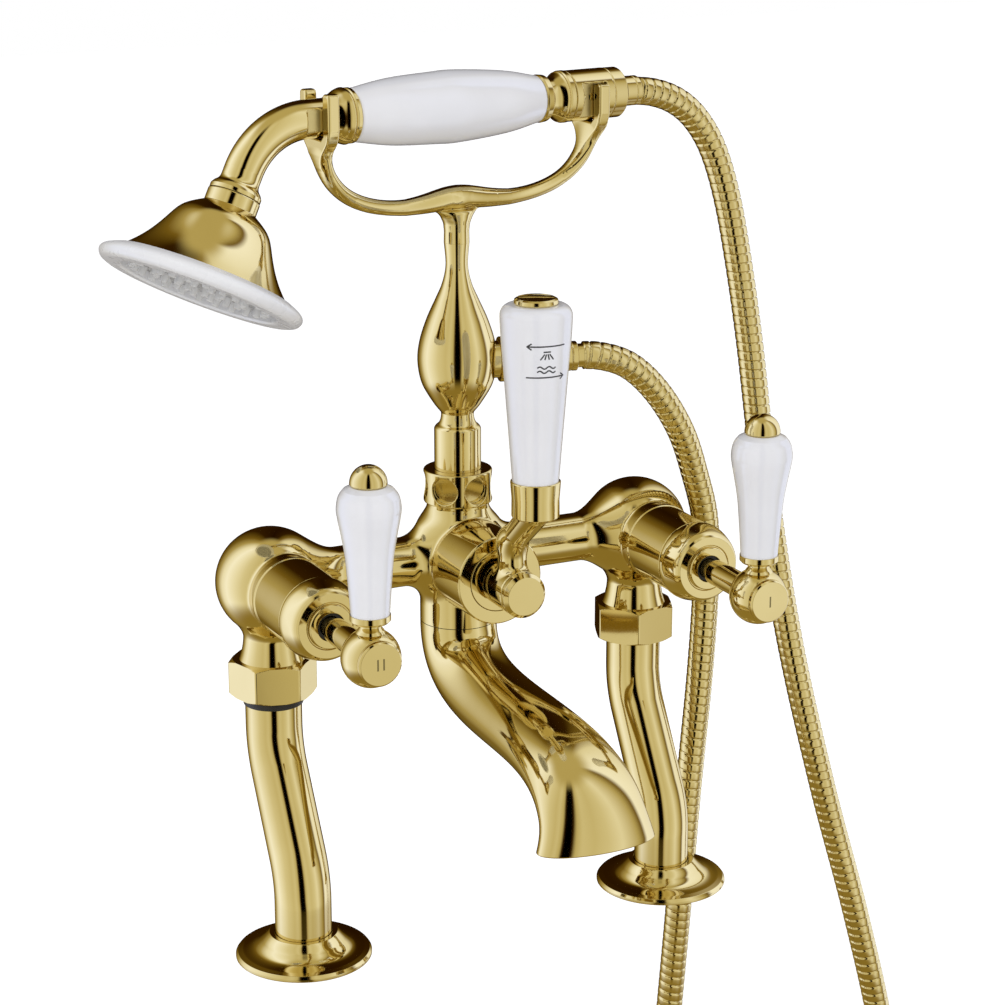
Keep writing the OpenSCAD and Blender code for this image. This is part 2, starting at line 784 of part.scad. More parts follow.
// Quarter turn cartridge, clamped by its flange between spigot and shroud
module cartridge(side) {
    port_r = cartridge_r * 0.32;
    color(gold_inside) forward(side) difference() {
        turned([[cartridge_r, cartridge_back + 1], [cartridge_r, spigot_end],
            [cartridge_flange_r, spigot_end], [cartridge_flange_r, spigot_end + cartridge_flange_t],
            [cartridge_neck_r, spigot_end + cartridge_flange_t], [cartridge_neck_r, cartridge_end]]);
        translate([0, 0, spindle_back])
            cylinder(r = spindle_r + running, h = cartridge_end - spindle_back + 1, $fn = round_n);
        for (way = [-1, 1]) {
            translate([way * cartridge_r / 2, 0, cartridge_back])
                cylinder(r = port_r, h = 5, $fn = round_n);
        }
    }
}

module hot_cartridge() {
    cartridge(-1);
}

module cold_cartridge() {
    cartridge(1);
}

module spindle_seal(side) {
    color(black_rubber) forward(side) translate([0, 0, bonnet_end + bonnet_lip - 3])
        washer_ring(spindle_r + 0.3, bonnet_hole_r, 2.4);
}

module hot_spindle_seal() {
    spindle_seal(-1);
}

module cold_spindle_seal() {
    spindle_seal(1);
}

// Plate that closes the diverter boss, with the spindle's bearing
module diverter_bonnet() {
    color(gold) forward(0) translate([0, 0, boss_reach - div_plate_t])
        washer_ring(div_spindle_r + 1.5, div_bore_r - slip / 2, div_plate_t);
}

module diverter_cartridge() {
    depth = div_bore_depth - div_plate_t;
    port_r = div_bore_r * 0.3;
    color(gold_inside) forward(0) translate([0, 0, boss_reach - div_bore_depth]) difference() {
        cylinder(r = div_bore_r - slip / 2, h = depth, $fn = round_n);
        translate([0, 0, depth / 2]) cylinder(r = div_spindle_r + running, h = depth, $fn = round_n);
        for (way = [-1, 1]) {
            translate([way * div_bore_r / 2, 0, -1]) cylinder(r = port_r, h = depth / 3, $fn = round_n);
        }
    }
}

// Locking collar: a ring over the riser's flange with six round spanner holes
module locking_collar() {
    hole_depth = 3;
    first_hole = 40.7;
    edge = 1.2;
    color(gold) translate([0, bar_y, neck_top_z]) difference() {
        turned_ring([[riser_flange_r + slip, 0], [collar_r - edge, 0], [collar_r, edge],
            [collar_r, collar_h - edge / 2], [collar_r - edge / 2, collar_h], [sleeve_r + slip, collar_h],
            [sleeve_r + slip, riser_flange_t + slip], [riser_flange_r + slip, riser_flange_t + slip]]);
        for (i = [0:5]) {
            rotate([0, 0, first_hole + 60 * i]) translate([collar_r - hole_depth, 0, collar_h / 2])
                rotate([0, 90, 0]) cylinder(d = spanner_hole_d, h = hole_depth + 1, $fn = round_n);
        }
    }
}

// Riser: stem, clamped flange, sleeve, groove and the pear shaped bulb with its neck
module riser() {
    groove_r = sleeve_r * 0.7;
    waist_r = 4.9;
    seam_r = 5.6;
    water_r = 4;
    color(gold) difference() {
        union() {
            translate([0, bar_y, 0]) turned(concat(
                [[stem_r, neck_top_z - stem_len], [stem_r, neck_top_z], [riser_flange_r, neck_top_z],
                    [riser_flange_r, neck_top_z + riser_flange_t], [sleeve_r, neck_top_z + riser_flange_t],
                    [sleeve_r, sleeve_top_z - 1.4]],
                smooth([[sleeve_r - 0.4, sleeve_top_z - 0.6], [groove_r + 1, sleeve_top_z + 2.4],
                    [groove_r, sleeve_top_z + 4.4]], 4),
                [[groove_r, sleeve_top_z + 6]],
                smooth([[groove_r + 0.4, sleeve_top_z + 6.6], [bulb_r * 0.63, sleeve_top_z + 11],
                    [bulb_r * 0.9, sleeve_top_z + 19.5], [bulb_r, sleeve_top_z + 29],
                    [bulb_r * 0.95, sleeve_top_z + 38], [bulb_r * 0.77, sleeve_top_z + 48],
                    [bulb_r * 0.54, sleeve_top_z + 57], [bulb_r * 0.37, sleeve_top_z + 64],
                    [waist_r, sleeve_top_z + 72], [seam_r, seam_z]], 5)));
            outlet_axis() cylinder(r = boss_out_r, h = outlet_boss_end, $fn = round_n);
        }
        translate([0, bar_y, neck_top_z - stem_len - 1])
            cylinder(r = water_r, h = outlet_z - neck_top_z + stem_len + 1, $fn = round_n);
        outlet_axis() cylinder(r = water_r, h = outlet_boss_end + 1, $fn = round_n);
    }
}

// Sealing washer under the riser's stem
module riser_washer() {
    color(black_rubber) translate([0, bar_y, neck_top_z - stem_len - washer_t])
        washer_ring(4.6, stem_r, washer_t);
}

// Cradle fork: a turned stem, two swept arms and two pronged hooks
arm_foot_z = seam_z + 19;
arm_sides = 20;
arm_steps = 18;

function arm_path(hook) = [[0, arm_foot_z], [hook * 0.54, arm_foot_z - 5], [hook * 0.94, arm_foot_z + 1],
    [hook, arm_foot_z + 25]];

function arm_ring(path, t) = let (
    at = bezier(path, t),
    way = bezier_way(path, t),
    thin = arm_d / 2,
    in_plane = stops(t, [[0, thin + 2.4], [0.05, thin + 2.2], [0.1, thin + 1.6], [0.16, thin + 0.8],
        [0.22, thin + 0.3], [0.3, thin], [0.8, thin], [1, hook_t / 2]]),
    across = stops(t, [[0, thin + 2.4], [0.08, thin + 1.9], [0.16, thin + 0.9], [0.26, thin],
        [0.6, thin + 0.3], [0.85, thin + 2.2], [1, prong_gap / 2]])
) ring([at[0], 0, at[1]], [way[1], 0, -way[0]] * in_plane, [0, across, 0], arm_sides);

// One hook: a leaf that opens into two upright prongs about the handset
module hook_plate(at, seat_r, rise) {
    outer = prong_gap / 2 + prong_w;
    seat_z = handset_z - seat_r - rest_gap;
    foot_z = seat_z - 13;
    tip_z = handset_z + rise;
    leaf = smooth([[arm_d / 2 - 0.6, foot_z], [arm_d / 2 + 1, foot_z + 4], [arm_d / 2 + 4.4, foot_z + 8],
        [outer, foot_z + 13.4]], 5);
    right = concat(leaf, [[outer, tip_z - 0.8], [outer - 0.8, tip_z], [prong_gap / 2 + 0.8, tip_z],
        [prong_gap / 2, tip_z - 0.8], [prong_gap / 2, seat_z + 2], [prong_gap / 2 - 2, seat_z]]);
    left = [for (i = [len(right) - 1:-1:0]) [-right[i][0], right[i][1]]];
    translate([at - hook_t / 2, 0, 0]) rotate([90, 0, 90])
        linear_extrude(hook_t) polygon(concat(right, left));
}

module cradle_fork() {
    color(gold) cradle_frame() {
        turned(concat([[5.6, seam_z], [5.4, seam_z + 5]],
            smooth([[6, seam_z + 9], [7.2, seam_z + 13], [7.4, seam_z + 17], [4, seam_z + 22]], 4)));
        for (path = [arm_path(-hook_head), arm_path(hook_hose)]) {
            swept([for (i = [0:arm_steps]) arm_ring(path, i / arm_steps)]);
        }
        hook_plate(-hook_head, tube_r, head_prong_rise);
        hook_plate(hook_hose, socket_r, hose_prong_rise);
    }
}

// Nut that draws the hose's ferrule onto the outlet boss
module outlet_nut() {
    nut_r = boss_out_r + 1.8;
    color(gold) outlet_axis() turned_ring([[boss_out_r + slip, outlet_boss_end - 5],
        [nut_r, outlet_boss_end - 5], [nut_r, outlet_nut_end - 4], [hose_ferrule_r + 0.6, outlet_nut_end],
        [ferrule_bore_r, outlet_nut_end], [ferrule_bore_r, outlet_boss_end + 4],
        [boss_out_r + slip, outlet_boss_end + 4]]);
}

module outlet_washer() {
    color(black_rubber) outlet_axis() translate([0, 0, outlet_boss_end])
        washer_ring(hose_bore / 2, boss_out_r - 0.4, 2.4);
}

// Crimped sleeve about a hose end, with an end wall that the hose butts against
module hose_sleeve(wall_at, mouth_at) {
    wall_t = 1;
    bore = ferrule_bore_r;
    outer = hose_ferrule_r;
    turned_ring([[hose_bore / 2, wall_at - wall_t], [outer, wall_at - wall_t], [outer, mouth_at - 3],
        [outer - 0.4, mouth_at - 2.6], [outer, mouth_at - 2.2], [outer, mouth_at - 0.3],
        [outer - 0.3, mouth_at], [bore, mouth_at], [bore, wall_at], [hose_bore / 2, wall_at]]);
}

module outlet_ferrule() {
    color(gold) outlet_axis() hose_sleeve(outlet_hose_start, outlet_ferrule_end);
}

// Hose: one tube along the route, ribbed on its two hanging runs
hose_start_point = about_column(hose_start + rest_gap, cradle_turn, handset_z);
hose_start_run = about_column(hose_start + rest_gap + hose_d, cradle_turn, handset_z);
hose_end_run = about_column(outlet_hose_start + rest_gap + hose_d, outlet_bearing, outlet_z);
hose_end_point = about_column(outlet_hose_start + rest_gap, outlet_bearing, outlet_z);
hose_route = concat([hose_start_point, hose_start_run], hose_route_points, [hose_end_run, hose_end_point]);
hose_line = smooth(hose_route, 8);
hose_steps = [for (i = 0, s = 0; i < len(hose_line);
    s = s + (i < len(hose_line) - 1 ? norm(hose_line[i + 1] - hose_line[i]) : 0), i = i + 1) s];
hose_length = hose_steps[len(hose_steps) - 1];
hose_x = [for (i = [0:len(hose_line) - 1]) [hose_steps[i], hose_line[i][0]]];
hose_y = [for (i = [0:len(hose_line) - 1]) [hose_steps[i], hose_line[i][1]]];
hose_z = [for (i = [0:len(hose_line) - 1]) [hose_steps[i], hose_line[i][2]]];
hose_sides = 8;
hose_back = [0.25, 0.97, 0];
// The ribs start past the mouths of the sleeves
hose_end_straight = 18.6;

function hose_at(s) = [lookup(s, hose_x), lookup(s, hose_y), lookup(s, hose_z)];

function hose_ring(s, r) = let (
    way = unit(hose_at(min(s + 1, hose_length)) - hose_at(max(s - 1, 0))),
    u = unit(hose_back - way * (hose_back * way))
) ring(hose_at(s), u * r, cross(way, u) * r, hose_sides);

// Stations of the outer skin as [distance, radius]: straight ends, ribs and the plain hanging bend
function hose_skin() = let (
    pitch = (ribbed_run - hose_end_straight) / ribs,
    plain = hose_length - 2 * ribbed_run,
    plain_steps = 30,
    low = hose_r - rib_depth
) concat(
    [[0, low]],
    [for (i = [0:ribs - 1]) each [[hose_end_straight + i * pitch, low],
        [hose_end_straight + (i + 0.5) * pitch, hose_r]]],
    [for (i = [0:plain_steps]) [ribbed_run + plain * i / plain_steps, low]],
    [for (i = [0:ribs - 1]) each [[hose_length - ribbed_run + (i + 0.5) * pitch, hose_r],
        [hose_length - ribbed_run + (i + 1) * pitch, low]]],
    [[hose_length, low]]);

module shower_hose() {
    bore_steps = 90;
    color(gold) pipe([for (p = hose_skin()) hose_ring(p[0], p[1])],
        [for (i = [0:bore_steps]) hose_ring(hose_length * i / bore_steps, hose_bore / 2)]);
}

// Valve spindle, from inside the cartridge into the lever's ball
module spindle(side) {
    color(gold_inside) forward(side) translate([0, 0, spindle_back + 0.3])
        cylinder(r = spindle_r, h = hub_reach - spindle_back - 4, $fn = round_n);
}

module hot_spindle() {
    spindle(-1);
}

module cold_spindle() {
    spindle(1);
}

// Lever ball with its rear neck and the flanged neck that carries the ceramic
module lever_hub(side) {
    flange_lip = foot_r + 0.4;
    stalk_r = rod_r + 1.6;
    color(gold) difference() {
        union() {
            upright(side, hub_reach) {
                sphere(r = hub_r, $fn = round_n);
                turned(concat([[stalk_r + 2.4, hub_r * 0.8]],
                    smooth([[stalk_r + 1.4, hub_r - 0.6], [stalk_r + 0.2, hub_r + 1], [stalk_r, hub_r + 2],
                        [stalk_r + 0.4, lever_flange_z - 0.4]], 4),
                    [[flange_lip - 1, lever_flange_z], [flange_lip, lever_flange_z + 1],
                        [flange_lip, lever_flange_z + lever_flange_t]]));
            }
            forward(side) turned([[hub_neck_r - 0.7, hub_neck_back], [hub_neck_r, hub_neck_back + 0.8],
                [hub_neck_r, hub_reach - hub_r * 0.8], [hub_neck_r, hub_reach]]);
        }
        upright(side, hub_reach) {
            translate([0, 0, handle_z]) cylinder(r = foot_r + 0.05, h = lever_flange_t, $fn = round_n);
            translate([0, 0, handle_z - rod_depth])
                cylinder(r = rod_r + 0.02, h = rod_depth + 1, $fn = round_n);
        }
        forward(side) {
            translate([0, 0, hub_neck_back - 1])
                cylinder(r = spindle_r + 0.02, h = hub_reach - 3.4 - hub_neck_back + 1, $fn = round_n);
            translate([0, 0, cap_seat]) cylinder(r = cap_r + 0.05, h = hub_r, $fn = round_n);
        }
    }
}

module hot_hub() {
    lever_hub(-1);
}

module cold_hub() {
    lever_hub(1);
}

// Index cap in the front of the lever's ball
module index_cap(side) {
    edge = 0.7;
    color(gold) forward(side)
        turned([[cap_r, cap_seat], [cap_r, cap_front - edge], [cap_r - edge, cap_front]]);
}

module hot_index_cap() {
    index_cap(-1);
}

module cold_index_cap() {
    index_cap(1);
}

// Ceramic lever: a turned handle that swells to a rounded shoulder
module lever_handle(side) {
    shoulder = handle_z + handle_h * 0.83;
    rod_hole = rod_r + slip;
    color(white_ceramic) upright(side, hub_reach) turned_ring(concat(
        [[rod_hole, handle_z], [foot_r - 0.5, handle_z], [foot_r, handle_z + 0.6]],
        smooth([[foot_r + 0.1, handle_z + 2], [foot_r + 0.7, handle_z + handle_h * 0.2],
            [foot_r + (top_r - foot_r) * 0.37, handle_z + handle_h * 0.46],
            [foot_r + (top_r - foot_r) * 0.68, handle_z + handle_h * 0.64],
            [top_r - 0.5, handle_z + handle_h * 0.75], [top_r, shoulder],
            [top_r - 0.8, handle_top_z - 4.4], [finial_r + 2.6, handle_top_z - 1.4]], 5),
        [[finial_r - 0.2, handle_top_z], [rod_hole, handle_top_z]]));
}

module hot_handle() {
    lever_handle(-1);
}

module cold_handle() {
    lever_handle(1);
}

// Domed finial with the rod that ties the handle down to the ball
module finial(side) {
    color(gold) upright(side, hub_reach) {
        turned(concat([[finial_r - 0.6, handle_top_z], [finial_r, handle_top_z + 0.8]],
            arc([0, handle_top_z + 1], finial_r, 0, 90)));
        translate([0, 0, handle_z - rod_depth + 0.5])
            cylinder(r = rod_r, h = handle_top_z - handle_z + rod_depth, $fn = round_n);
    }
}

module hot_finial() {
    finial(-1);
}

module cold_finial() {
    finial(1);
}

module diverter_spindle() {
    start = boss_reach - div_bore_depth / 2 + 0.3;
    color(gold_inside) forward(0) translate([0, 0, start])
        cylinder(r = div_spindle_r, h = div_hub_front - 6 - start, $fn = round_n);
}

// Cranked diverter arm: hub, rising arm, knee and the ferrule that carries the handle
module diverter_arm() {
    edge = 0.8;
    reach = crank_reach;
    rise = crank_rise + 2 - div_knee_z;
    slope = atan2(reach, rise);
    run = norm([reach, rise]);
    color(gold) difference() {
        union() {
            forward(0) turned([[div_hub_r - edge, div_hub_back], [div_hub_r, div_hub_back + edge],
                [div_hub_r, div_hub_front - edge], [div_hub_r - edge, div_hub_front]]);
            upright(0, div_arm_at) {
                cylinder(r1 = div_arm_r, r2 = div_knee_r, h = div_knee_z, $fn = round_n);
                translate([0, 0, div_knee_z]) {
                    sphere(r = div_knee_r + 0.3, $fn = round_n);
                    rotate([slope, 0, 0])
                        cylinder(r1 = div_knee_r, r2 = div_knee_r + 1, h = run, $fn = round_n);
                }
            }
            upright(0, div_handle_at) turned([[div_ferrule_r - 1.2, crank_rise],
                [div_ferrule_r - 0.5, crank_rise + 0.7],
                [div_ferrule_r - 0.6, crank_rise + div_ferrule_h * 0.5],
                [div_ferrule_r, crank_rise + div_ferrule_h - 0.4],
                [div_ferrule_r - 0.4, crank_rise + div_ferrule_h]]);
        }
        forward(0) translate([0, 0, div_hub_back - 1])
            cylinder(r = div_spindle_r + 0.02, h = div_hub_len - 4.5, $fn = round_n);
        upright(0, div_handle_at) {
            translate([0, 0, div_handle_z])
                cylinder(r = div_foot_r + 0.05, h = div_ferrule_h, $fn = round_n);
            translate([0, 0, div_handle_z - rod_depth])
                cylinder(r = rod_r + 0.02, h = rod_depth + 1, $fn = round_n);
        }
    }
}

module diverter_cap() {
    face_r = div_hub_r - 1.8;
    color(gold) forward(0) turned([[div_hub_r - 0.8, div_hub_front], [div_hub_r, div_hub_front + 0.8],
        [div_hub_r, div_hub_front + div_cap_len - 1.6], [face_r, div_hub_front + div_cap_len]]);
}

// Ceramic diverter handle: a long taper with a rounded shoulder
module diverter_handle() {
    corner = 4.6;
    rod_hole = rod_r + slip;
    color(white_ceramic) upright(0, div_handle_at) turned_ring(concat(
        [[rod_hole, div_handle_z], [div_foot_r - 0.6, div_handle_z], [div_foot_r, div_handle_z + 0.8],
            [div_top_r - 0.5, div_handle_top_z - div_handle_h * 0.2],
            [div_top_r, div_handle_top_z - corner - 2]],
        arc([div_top_r - corner, div_handle_top_z - corner], corner, 0, 80, 10),
        [[button_r, div_handle_top_z], [rod_hole, div_handle_top_z]]));
}

// Button on the diverter handle with its tie rod
module diverter_button() {
    dish = 0.7;
    rise = 2.6;
    color(gold) upright(0, div_handle_at) {
        turned([[button_r - 0.3, div_handle_top_z], [button_r, div_handle_top_z + 0.6],
            [button_r - 0.2, div_handle_top_z + rise - 0.6], [button_r - 1.2, div_handle_top_z + rise],
            [button_r - 2.6, div_handle_top_z + rise - dish * 0.6],
            [button_r * 0.4, div_handle_top_z + rise - dish]]);
        translate([0, 0, div_handle_z - rod_depth + 0.5])
            cylinder(r = rod_r, h = div_handle_top_z - div_handle_z + rod_depth, $fn = round_n);
    }
}

// Neck of the handset: straight tube with a notch for the hook, a bend and a bead at its end
module handset_neck() {
    turn = 90 - head_tilt;
    notch_from = -hook_head + hook_t / 2 + slip - notch_len;
    hair = 0.03;
    lap = 1;
    color(gold) difference() {
        union() {
            handset_axis() translate([0, 0, bend_start - lap])
                cylinder(r = tube_r, h = neck_start - bend_start + lap, $fn = round_n);
            neck_plane() translate([bend_start, 0, -neck_bend]) rotate([90, 0, 0]) rotate([0, 0, 90])
                rotate_extrude(angle = turn, $fn = round_n) translate([neck_bend, 0])
                circle(r = tube_r + hair, $fn = round_n);
            head_axis() turned([[tube_r, -lap], [tube_r, bead_at - 4], [tube_r + 0.6, bead_at - 2.4],
                [bell_collar_r - 1, bead_at - 0.8], [bell_collar_r - 0.2, bead_at + 0.6],
                [bell_collar_r - 0.2, collar_start - 1]]);
        }
        cradle_frame() for (way = [-1, 1]) {
            translate([notch_from, way > 0 ? flat_half : -flat_half - tube_r, handset_z - tube_r - 1])
                cube([notch_len, tube_r, 2 * tube_r + 2]);
        }
    }
}

// Turned ring between the neck and the ceramic grip
module front_ferrule() {
    back = grip_head - ferrule_len;
    hole = tube_r + 0.02;
    color(gold) handset_axis() turned_ring(concat([[hole, back], [tube_r + 0.8, back]],
        smooth([[tube_r + 0.9, back + 0.8], [tube_r + 1.8, back + 2.6], [ferrule_r - 0.7, back + 4.8],
            [ferrule_r, back + 7], [ferrule_r - 0.5, grip_head - 3.2]], 5),
        [[ferrule_r - 0.9, grip_head - 2.6], [ferrule_r - 0.3, grip_head - 2],
            [ferrule_r - 0.3, grip_head - 0.6], [ferrule_r - 0.8, grip_head], [hole, grip_head]]));
}

module handset_grip() {
    hole = rod_tube_r + slip;
    head_r = grip_head_d / 2;
    tail_end_r = grip_hose_d / 2;
    color(white_ceramic) handset_axis() turned_ring(concat([[hole, grip_head], [head_r - 0.6, grip_head]],
        smooth([[head_r, grip_head + 0.8], [head_r + (grip_r - head_r) * 0.68, grip_head + grip_len * 0.2],
            [grip_r - 0.2, grip_head + grip_len * 0.42], [grip_r, grip_head + grip_len * 0.56],
            [tail_end_r + (grip_r - tail_end_r) * 0.6, grip_head + grip_len * 0.82],
            [tail_end_r, grip_end - 0.8]], 6),
        [[tail_end_r - 0.6, grip_end], [hole, grip_end]]));
}

// Tube through the grip that ties the neck to the socket
module grip_rod() {
    color(gold_inside) handset_axis() translate([0, 0, neck_start])
        washer_ring(rod_tube_r - 1.5, rod_tube_r, socket_start + 8 - neck_start);
}

module grip_end_ring() {
    hole = rod_tube_r + 0.02;
    lip = grip_hose_d / 2;
    color(gold) handset_axis() turned_ring([[hole, grip_end], [lip - 0.4, grip_end],
        [lip + 0.2, grip_end + 0.8], [lip - 0.1, socket_start], [hole, socket_start]]);
}

// Hose socket: a coved and beaded sleeve, with flats for the hook and a bore for the hose's sleeve
module hose_socket() {
    bead = socket_start + 8;
    end_groove = socket_end - 7;
    notch_from = hook_hose + hook_t / 2 + slip - notch_len;
    notch_top = hose_prong_rise + 0.5;
    color(gold) difference() {
        handset_axis() turned(concat([[socket_r - 2.6, socket_start], [socket_r - 2.2, socket_start + 0.6]],
            smooth([[socket_r - 2.8, socket_start + 1.4], [socket_r - 2.4, socket_start + 4],
                [socket_r - 1, socket_start + 6.6], [socket_r - 0.2, bead - 0.6]], 4),
            [[socket_r - 0.4, bead], [socket_r + 0.2, bead + 0.6], [socket_r + 0.2, bead + 2.6],
                [socket_r - 0.4, bead + 3.2], [socket_r, bead + 3.8], [socket_r, end_groove - 0.4],
                [socket_r - 0.5, end_groove], [socket_r - 0.1, end_groove + 0.4],
                [socket_r - 0.1, socket_end - 0.8], [socket_r - 0.8, socket_end]]));
        handset_axis() translate([0, 0, socket_start - 1])
            cylinder(r = rod_tube_r + 0.02, h = 9, $fn = round_n);
        handset_axis() translate([0, 0, hose_start - 3.4])
            cylinder(r = hose_ferrule_r + 0.02, h = socket_end - hose_start + 5, $fn = round_n);
        handset_axis() translate([0, 0, socket_start])
            cylinder(d = hose_bore - 1.5, h = socket_len, $fn = round_n);
        cradle_frame() for (way = [-1, 1]) {
            translate([notch_from, way > 0 ? flat_half : -flat_half - socket_r, handset_z - socket_r - 1])
                cube([notch_len, socket_r, socket_r + 1 + notch_top]);
        }
    }
}

module hose_ferrule() {
    color(gold) handset_axis() hose_sleeve(hose_start, hose_ferrule_end);
}

module hose_washer() {
    color(black_rubber) handset_axis() translate([0, 0, hose_start - 3.4])
        washer_ring(hose_bore / 2, hose_ferrule_r - 0.2, 2.4);
}

// Bell outline from the collar's foot, as [radius, distance]
function bell_outline(inset) = let (wide = bell_r - bell_collar_r) concat(
    smooth([[bell_collar_r - inset, bell_start + inset],
        [bell_collar_r + wide * 0.2 - inset, bell_start + bell_h * 0.1 + inset],
        [bell_collar_r + wide * 0.33 - inset, bell_start + bell_h * 0.2 + inset / 2],
        [bell_collar_r + wide * 0.42 - inset, bell_start + bell_h * 0.34],
        [bell_collar_r + wide * 0.54 - inset, bell_start + bell_h * 0.52],
        [bell_collar_r + wide * 0.68 - inset, bell_start + bell_h * 0.71],
        [bell_collar_r + wide * 0.84 - inset, bell_start + bell_h * 0.87], [bell_r - inset, bell_end]], 4));

module head_bell() {
    outside = bell_outline(0);
    inside = bell_outline(bell_wall);
    bore = 5;
    color(gold) head_axis() turned_ring(concat(
        [[bore, collar_start], [bell_collar_r - 0.3, collar_start], [bell_collar_r, collar_start + 0.5]],
        outside, [for (i = [len(inside) - 1:-1:0]) inside[i]], [[bore, bell_start + bell_wall]]));
}

module head_washer() {
    color(black_rubber) head_axis() translate([0, 0, collar_start - 1])
        washer_ring(5, bell_collar_r - 1, 1);
}

// White rim: a rounded ring that carries the bell's edge and the spray plate
module head_rim() {
    opening = face_r;
    inner = bell_r - bell_wall - 2.4;
    rebate = opening + plate_lap + 0.05;
    front = bell_end + rim_h;
    color(white_plastic) head_axis() turned_ring(concat(
        [[inner, bell_end], [bell_r + 0.4, bell_end]],
        smooth([[bell_r + 2.6, bell_end + 0.2], [rim_r - 1.4, bell_end + rim_h * 0.28],
            [rim_r, bell_end + rim_h * 0.55], [rim_r - 1.2, bell_end + rim_h * 0.86],
            [rim_r - 3.6, front]], 5),
        [[opening + 0.8, front], [opening, front - 0.8], [opening, plate_at + plate_t],
            [rebate, plate_at + plate_t], [rebate, plate_at], [inner, plate_at]]));
}

module spray_plate() {
    color(white_plastic) head_axis() translate([0, 0, plate_at])
        cylinder(r = face_r + plate_lap, h = plate_t, $fn = round_n);
}

// Soft nozzles in three rings, each ring a third of the outer ring's radius and count apart
module spray_nozzles() {
    color(clear_silicone) head_axis() for (third = [1:3], i = [0:nozzles * third / 3 - 1]) {
        rotate([0, 0, 360 * i / (nozzles * third / 3)])
            translate([nozzle_ring * third / 3, 0, plate_at + plate_t])
            cylinder(r = nozzle_r, h = nozzle_h, $fn = 24);
    }
}

body_casting();
spout();
spout_seal();
hot_leg();
cold_leg();
hot_flange();
cold_flange();
hot_union_nut();
cold_union_nut();
hot_leg_seal();
cold_leg_seal();
hot_leg_washer();
cold_leg_washer();
hot_bonnet();
cold_bonnet();
hot_cartridge();
cold_cartridge();
hot_spindle_seal();
cold_spindle_seal();
diverter_bonnet();
diverter_cartridge();
locking_collar();
riser();
riser_washer();
cradle_fork();
outlet_nut();
outlet_washer();
outlet_ferrule();
shower_hose();
hot_spindle();
hot_hub();
hot_index_cap();
hot_handle();
hot_finial();
cold_spindle();
cold_hub();
cold_index_cap();
cold_handle();
cold_finial();
diverter_spindle();
diverter_arm();
diverter_cap();
diverter_handle();
diverter_button();
handset_neck();
front_ferrule();
handset_grip();
grip_rod();
grip_end_ring();
hose_socket();
hose_ferrule();
hose_washer();
head_bell();
head_washer();
head_rim();
spray_plate();
spray_nozzles();
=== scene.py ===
"""Looks of the deck mounted bath and shower mixer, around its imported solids.

Sizes are in millimetres, as in the solids, and become metres where a mesh is made."""

from math import acos, atan2, cos, degrees, dist, pi, radians, sin, sqrt, tan

import bmesh
import bpy
import numpy as np
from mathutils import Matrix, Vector
from numpy import array, asarray, clip, column_stack, hypot, interp, linspace, maximum, minimum, vstack, zeros
from numpy.linalg import norm


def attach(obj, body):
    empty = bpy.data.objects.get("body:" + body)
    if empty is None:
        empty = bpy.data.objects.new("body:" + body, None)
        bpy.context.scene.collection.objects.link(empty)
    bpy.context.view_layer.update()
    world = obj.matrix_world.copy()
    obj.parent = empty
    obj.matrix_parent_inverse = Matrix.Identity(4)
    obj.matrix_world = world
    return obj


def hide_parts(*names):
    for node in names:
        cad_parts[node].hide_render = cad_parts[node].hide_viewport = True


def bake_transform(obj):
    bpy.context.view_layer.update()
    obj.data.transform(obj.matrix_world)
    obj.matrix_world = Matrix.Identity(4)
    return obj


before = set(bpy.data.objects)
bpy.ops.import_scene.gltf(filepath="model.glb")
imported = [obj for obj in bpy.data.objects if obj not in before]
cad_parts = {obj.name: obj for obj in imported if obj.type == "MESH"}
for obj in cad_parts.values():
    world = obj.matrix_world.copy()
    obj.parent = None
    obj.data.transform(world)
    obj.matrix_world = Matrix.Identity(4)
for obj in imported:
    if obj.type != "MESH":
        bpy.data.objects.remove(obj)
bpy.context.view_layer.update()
scene = bpy.context.scene
scene.view_settings.view_transform = "Standard"
MM = 0.001

# Places and sizes that several pieces share, as in the solids
SIDE_X, BAR_Y, BAR_Z = 90.0, 30.0, 164.0
JOINT_Z, NECK_TOP_Z, SLEEVE_TOP_Z, SEAM_Z = 134.0, 189.0, 223.7, 305.7
HANDSET_Z, OUTLET_Z = 364.7, 252.7
CRADLE_TURN, OUTLET_BEARING = radians(6), radians(-15)
HEAD_TILT, HEAD_ROLL = radians(28), radians(7.5)
NECK_R, SOCKET_R, FLAT = 8.2, 11.2, 7.0
NECK_NOTCH, SOCKET_NOTCH = (-75.6, -63.0), (58.9, 71.5)
SOCKET_BEAD, SOCKET_LIP = 51.9, 75.4


def unit(v):
    """A vector, or each row of several, at length one."""
    return v / maximum(norm(v, axis=-1, keepdims=True), 1e-9)


def around(n):
    """Angles of n points on a circle."""
    return linspace(0, 2 * pi, n, endpoint=False)


def aimed(name, data, at, target):
    """A camera or lamp that looks from a place to a target, in metres."""
    obj = bpy.data.objects.new(name, data)
    scene.collection.objects.link(obj)
    obj.location = at
    obj.rotation_euler = (Vector(target) - Vector(at)).to_track_quat("-Z", "Y").to_euler()
    return obj


# The camera stands where the photograph was taken from
def add_camera():
    data = bpy.data.cameras.new("photo_camera")
    data.lens, data.sensor_width = 98.006, 36
    data.clip_start, data.clip_end = 0.05, 20
    scene.camera = aimed("photo_camera", data, (-0.49467, -1.03080, 0.53267), (0.007519, 0, 0.194848))


add_camera()


# Materials
def add_node(tree, kind, inputs=None, **settings):
    """The outputs of a new shader node. Its inputs are sockets to link to, or values."""
    node = tree.nodes.new("ShaderNode" + kind)
    for name, value in settings.items():
        setattr(node, name, value)
    for key, value in (inputs or {}).items():
        if isinstance(value, bpy.types.NodeSocket):
            tree.links.new(value, node.inputs[key])
        else:
            node.inputs[key].default_value = value
    return node.outputs


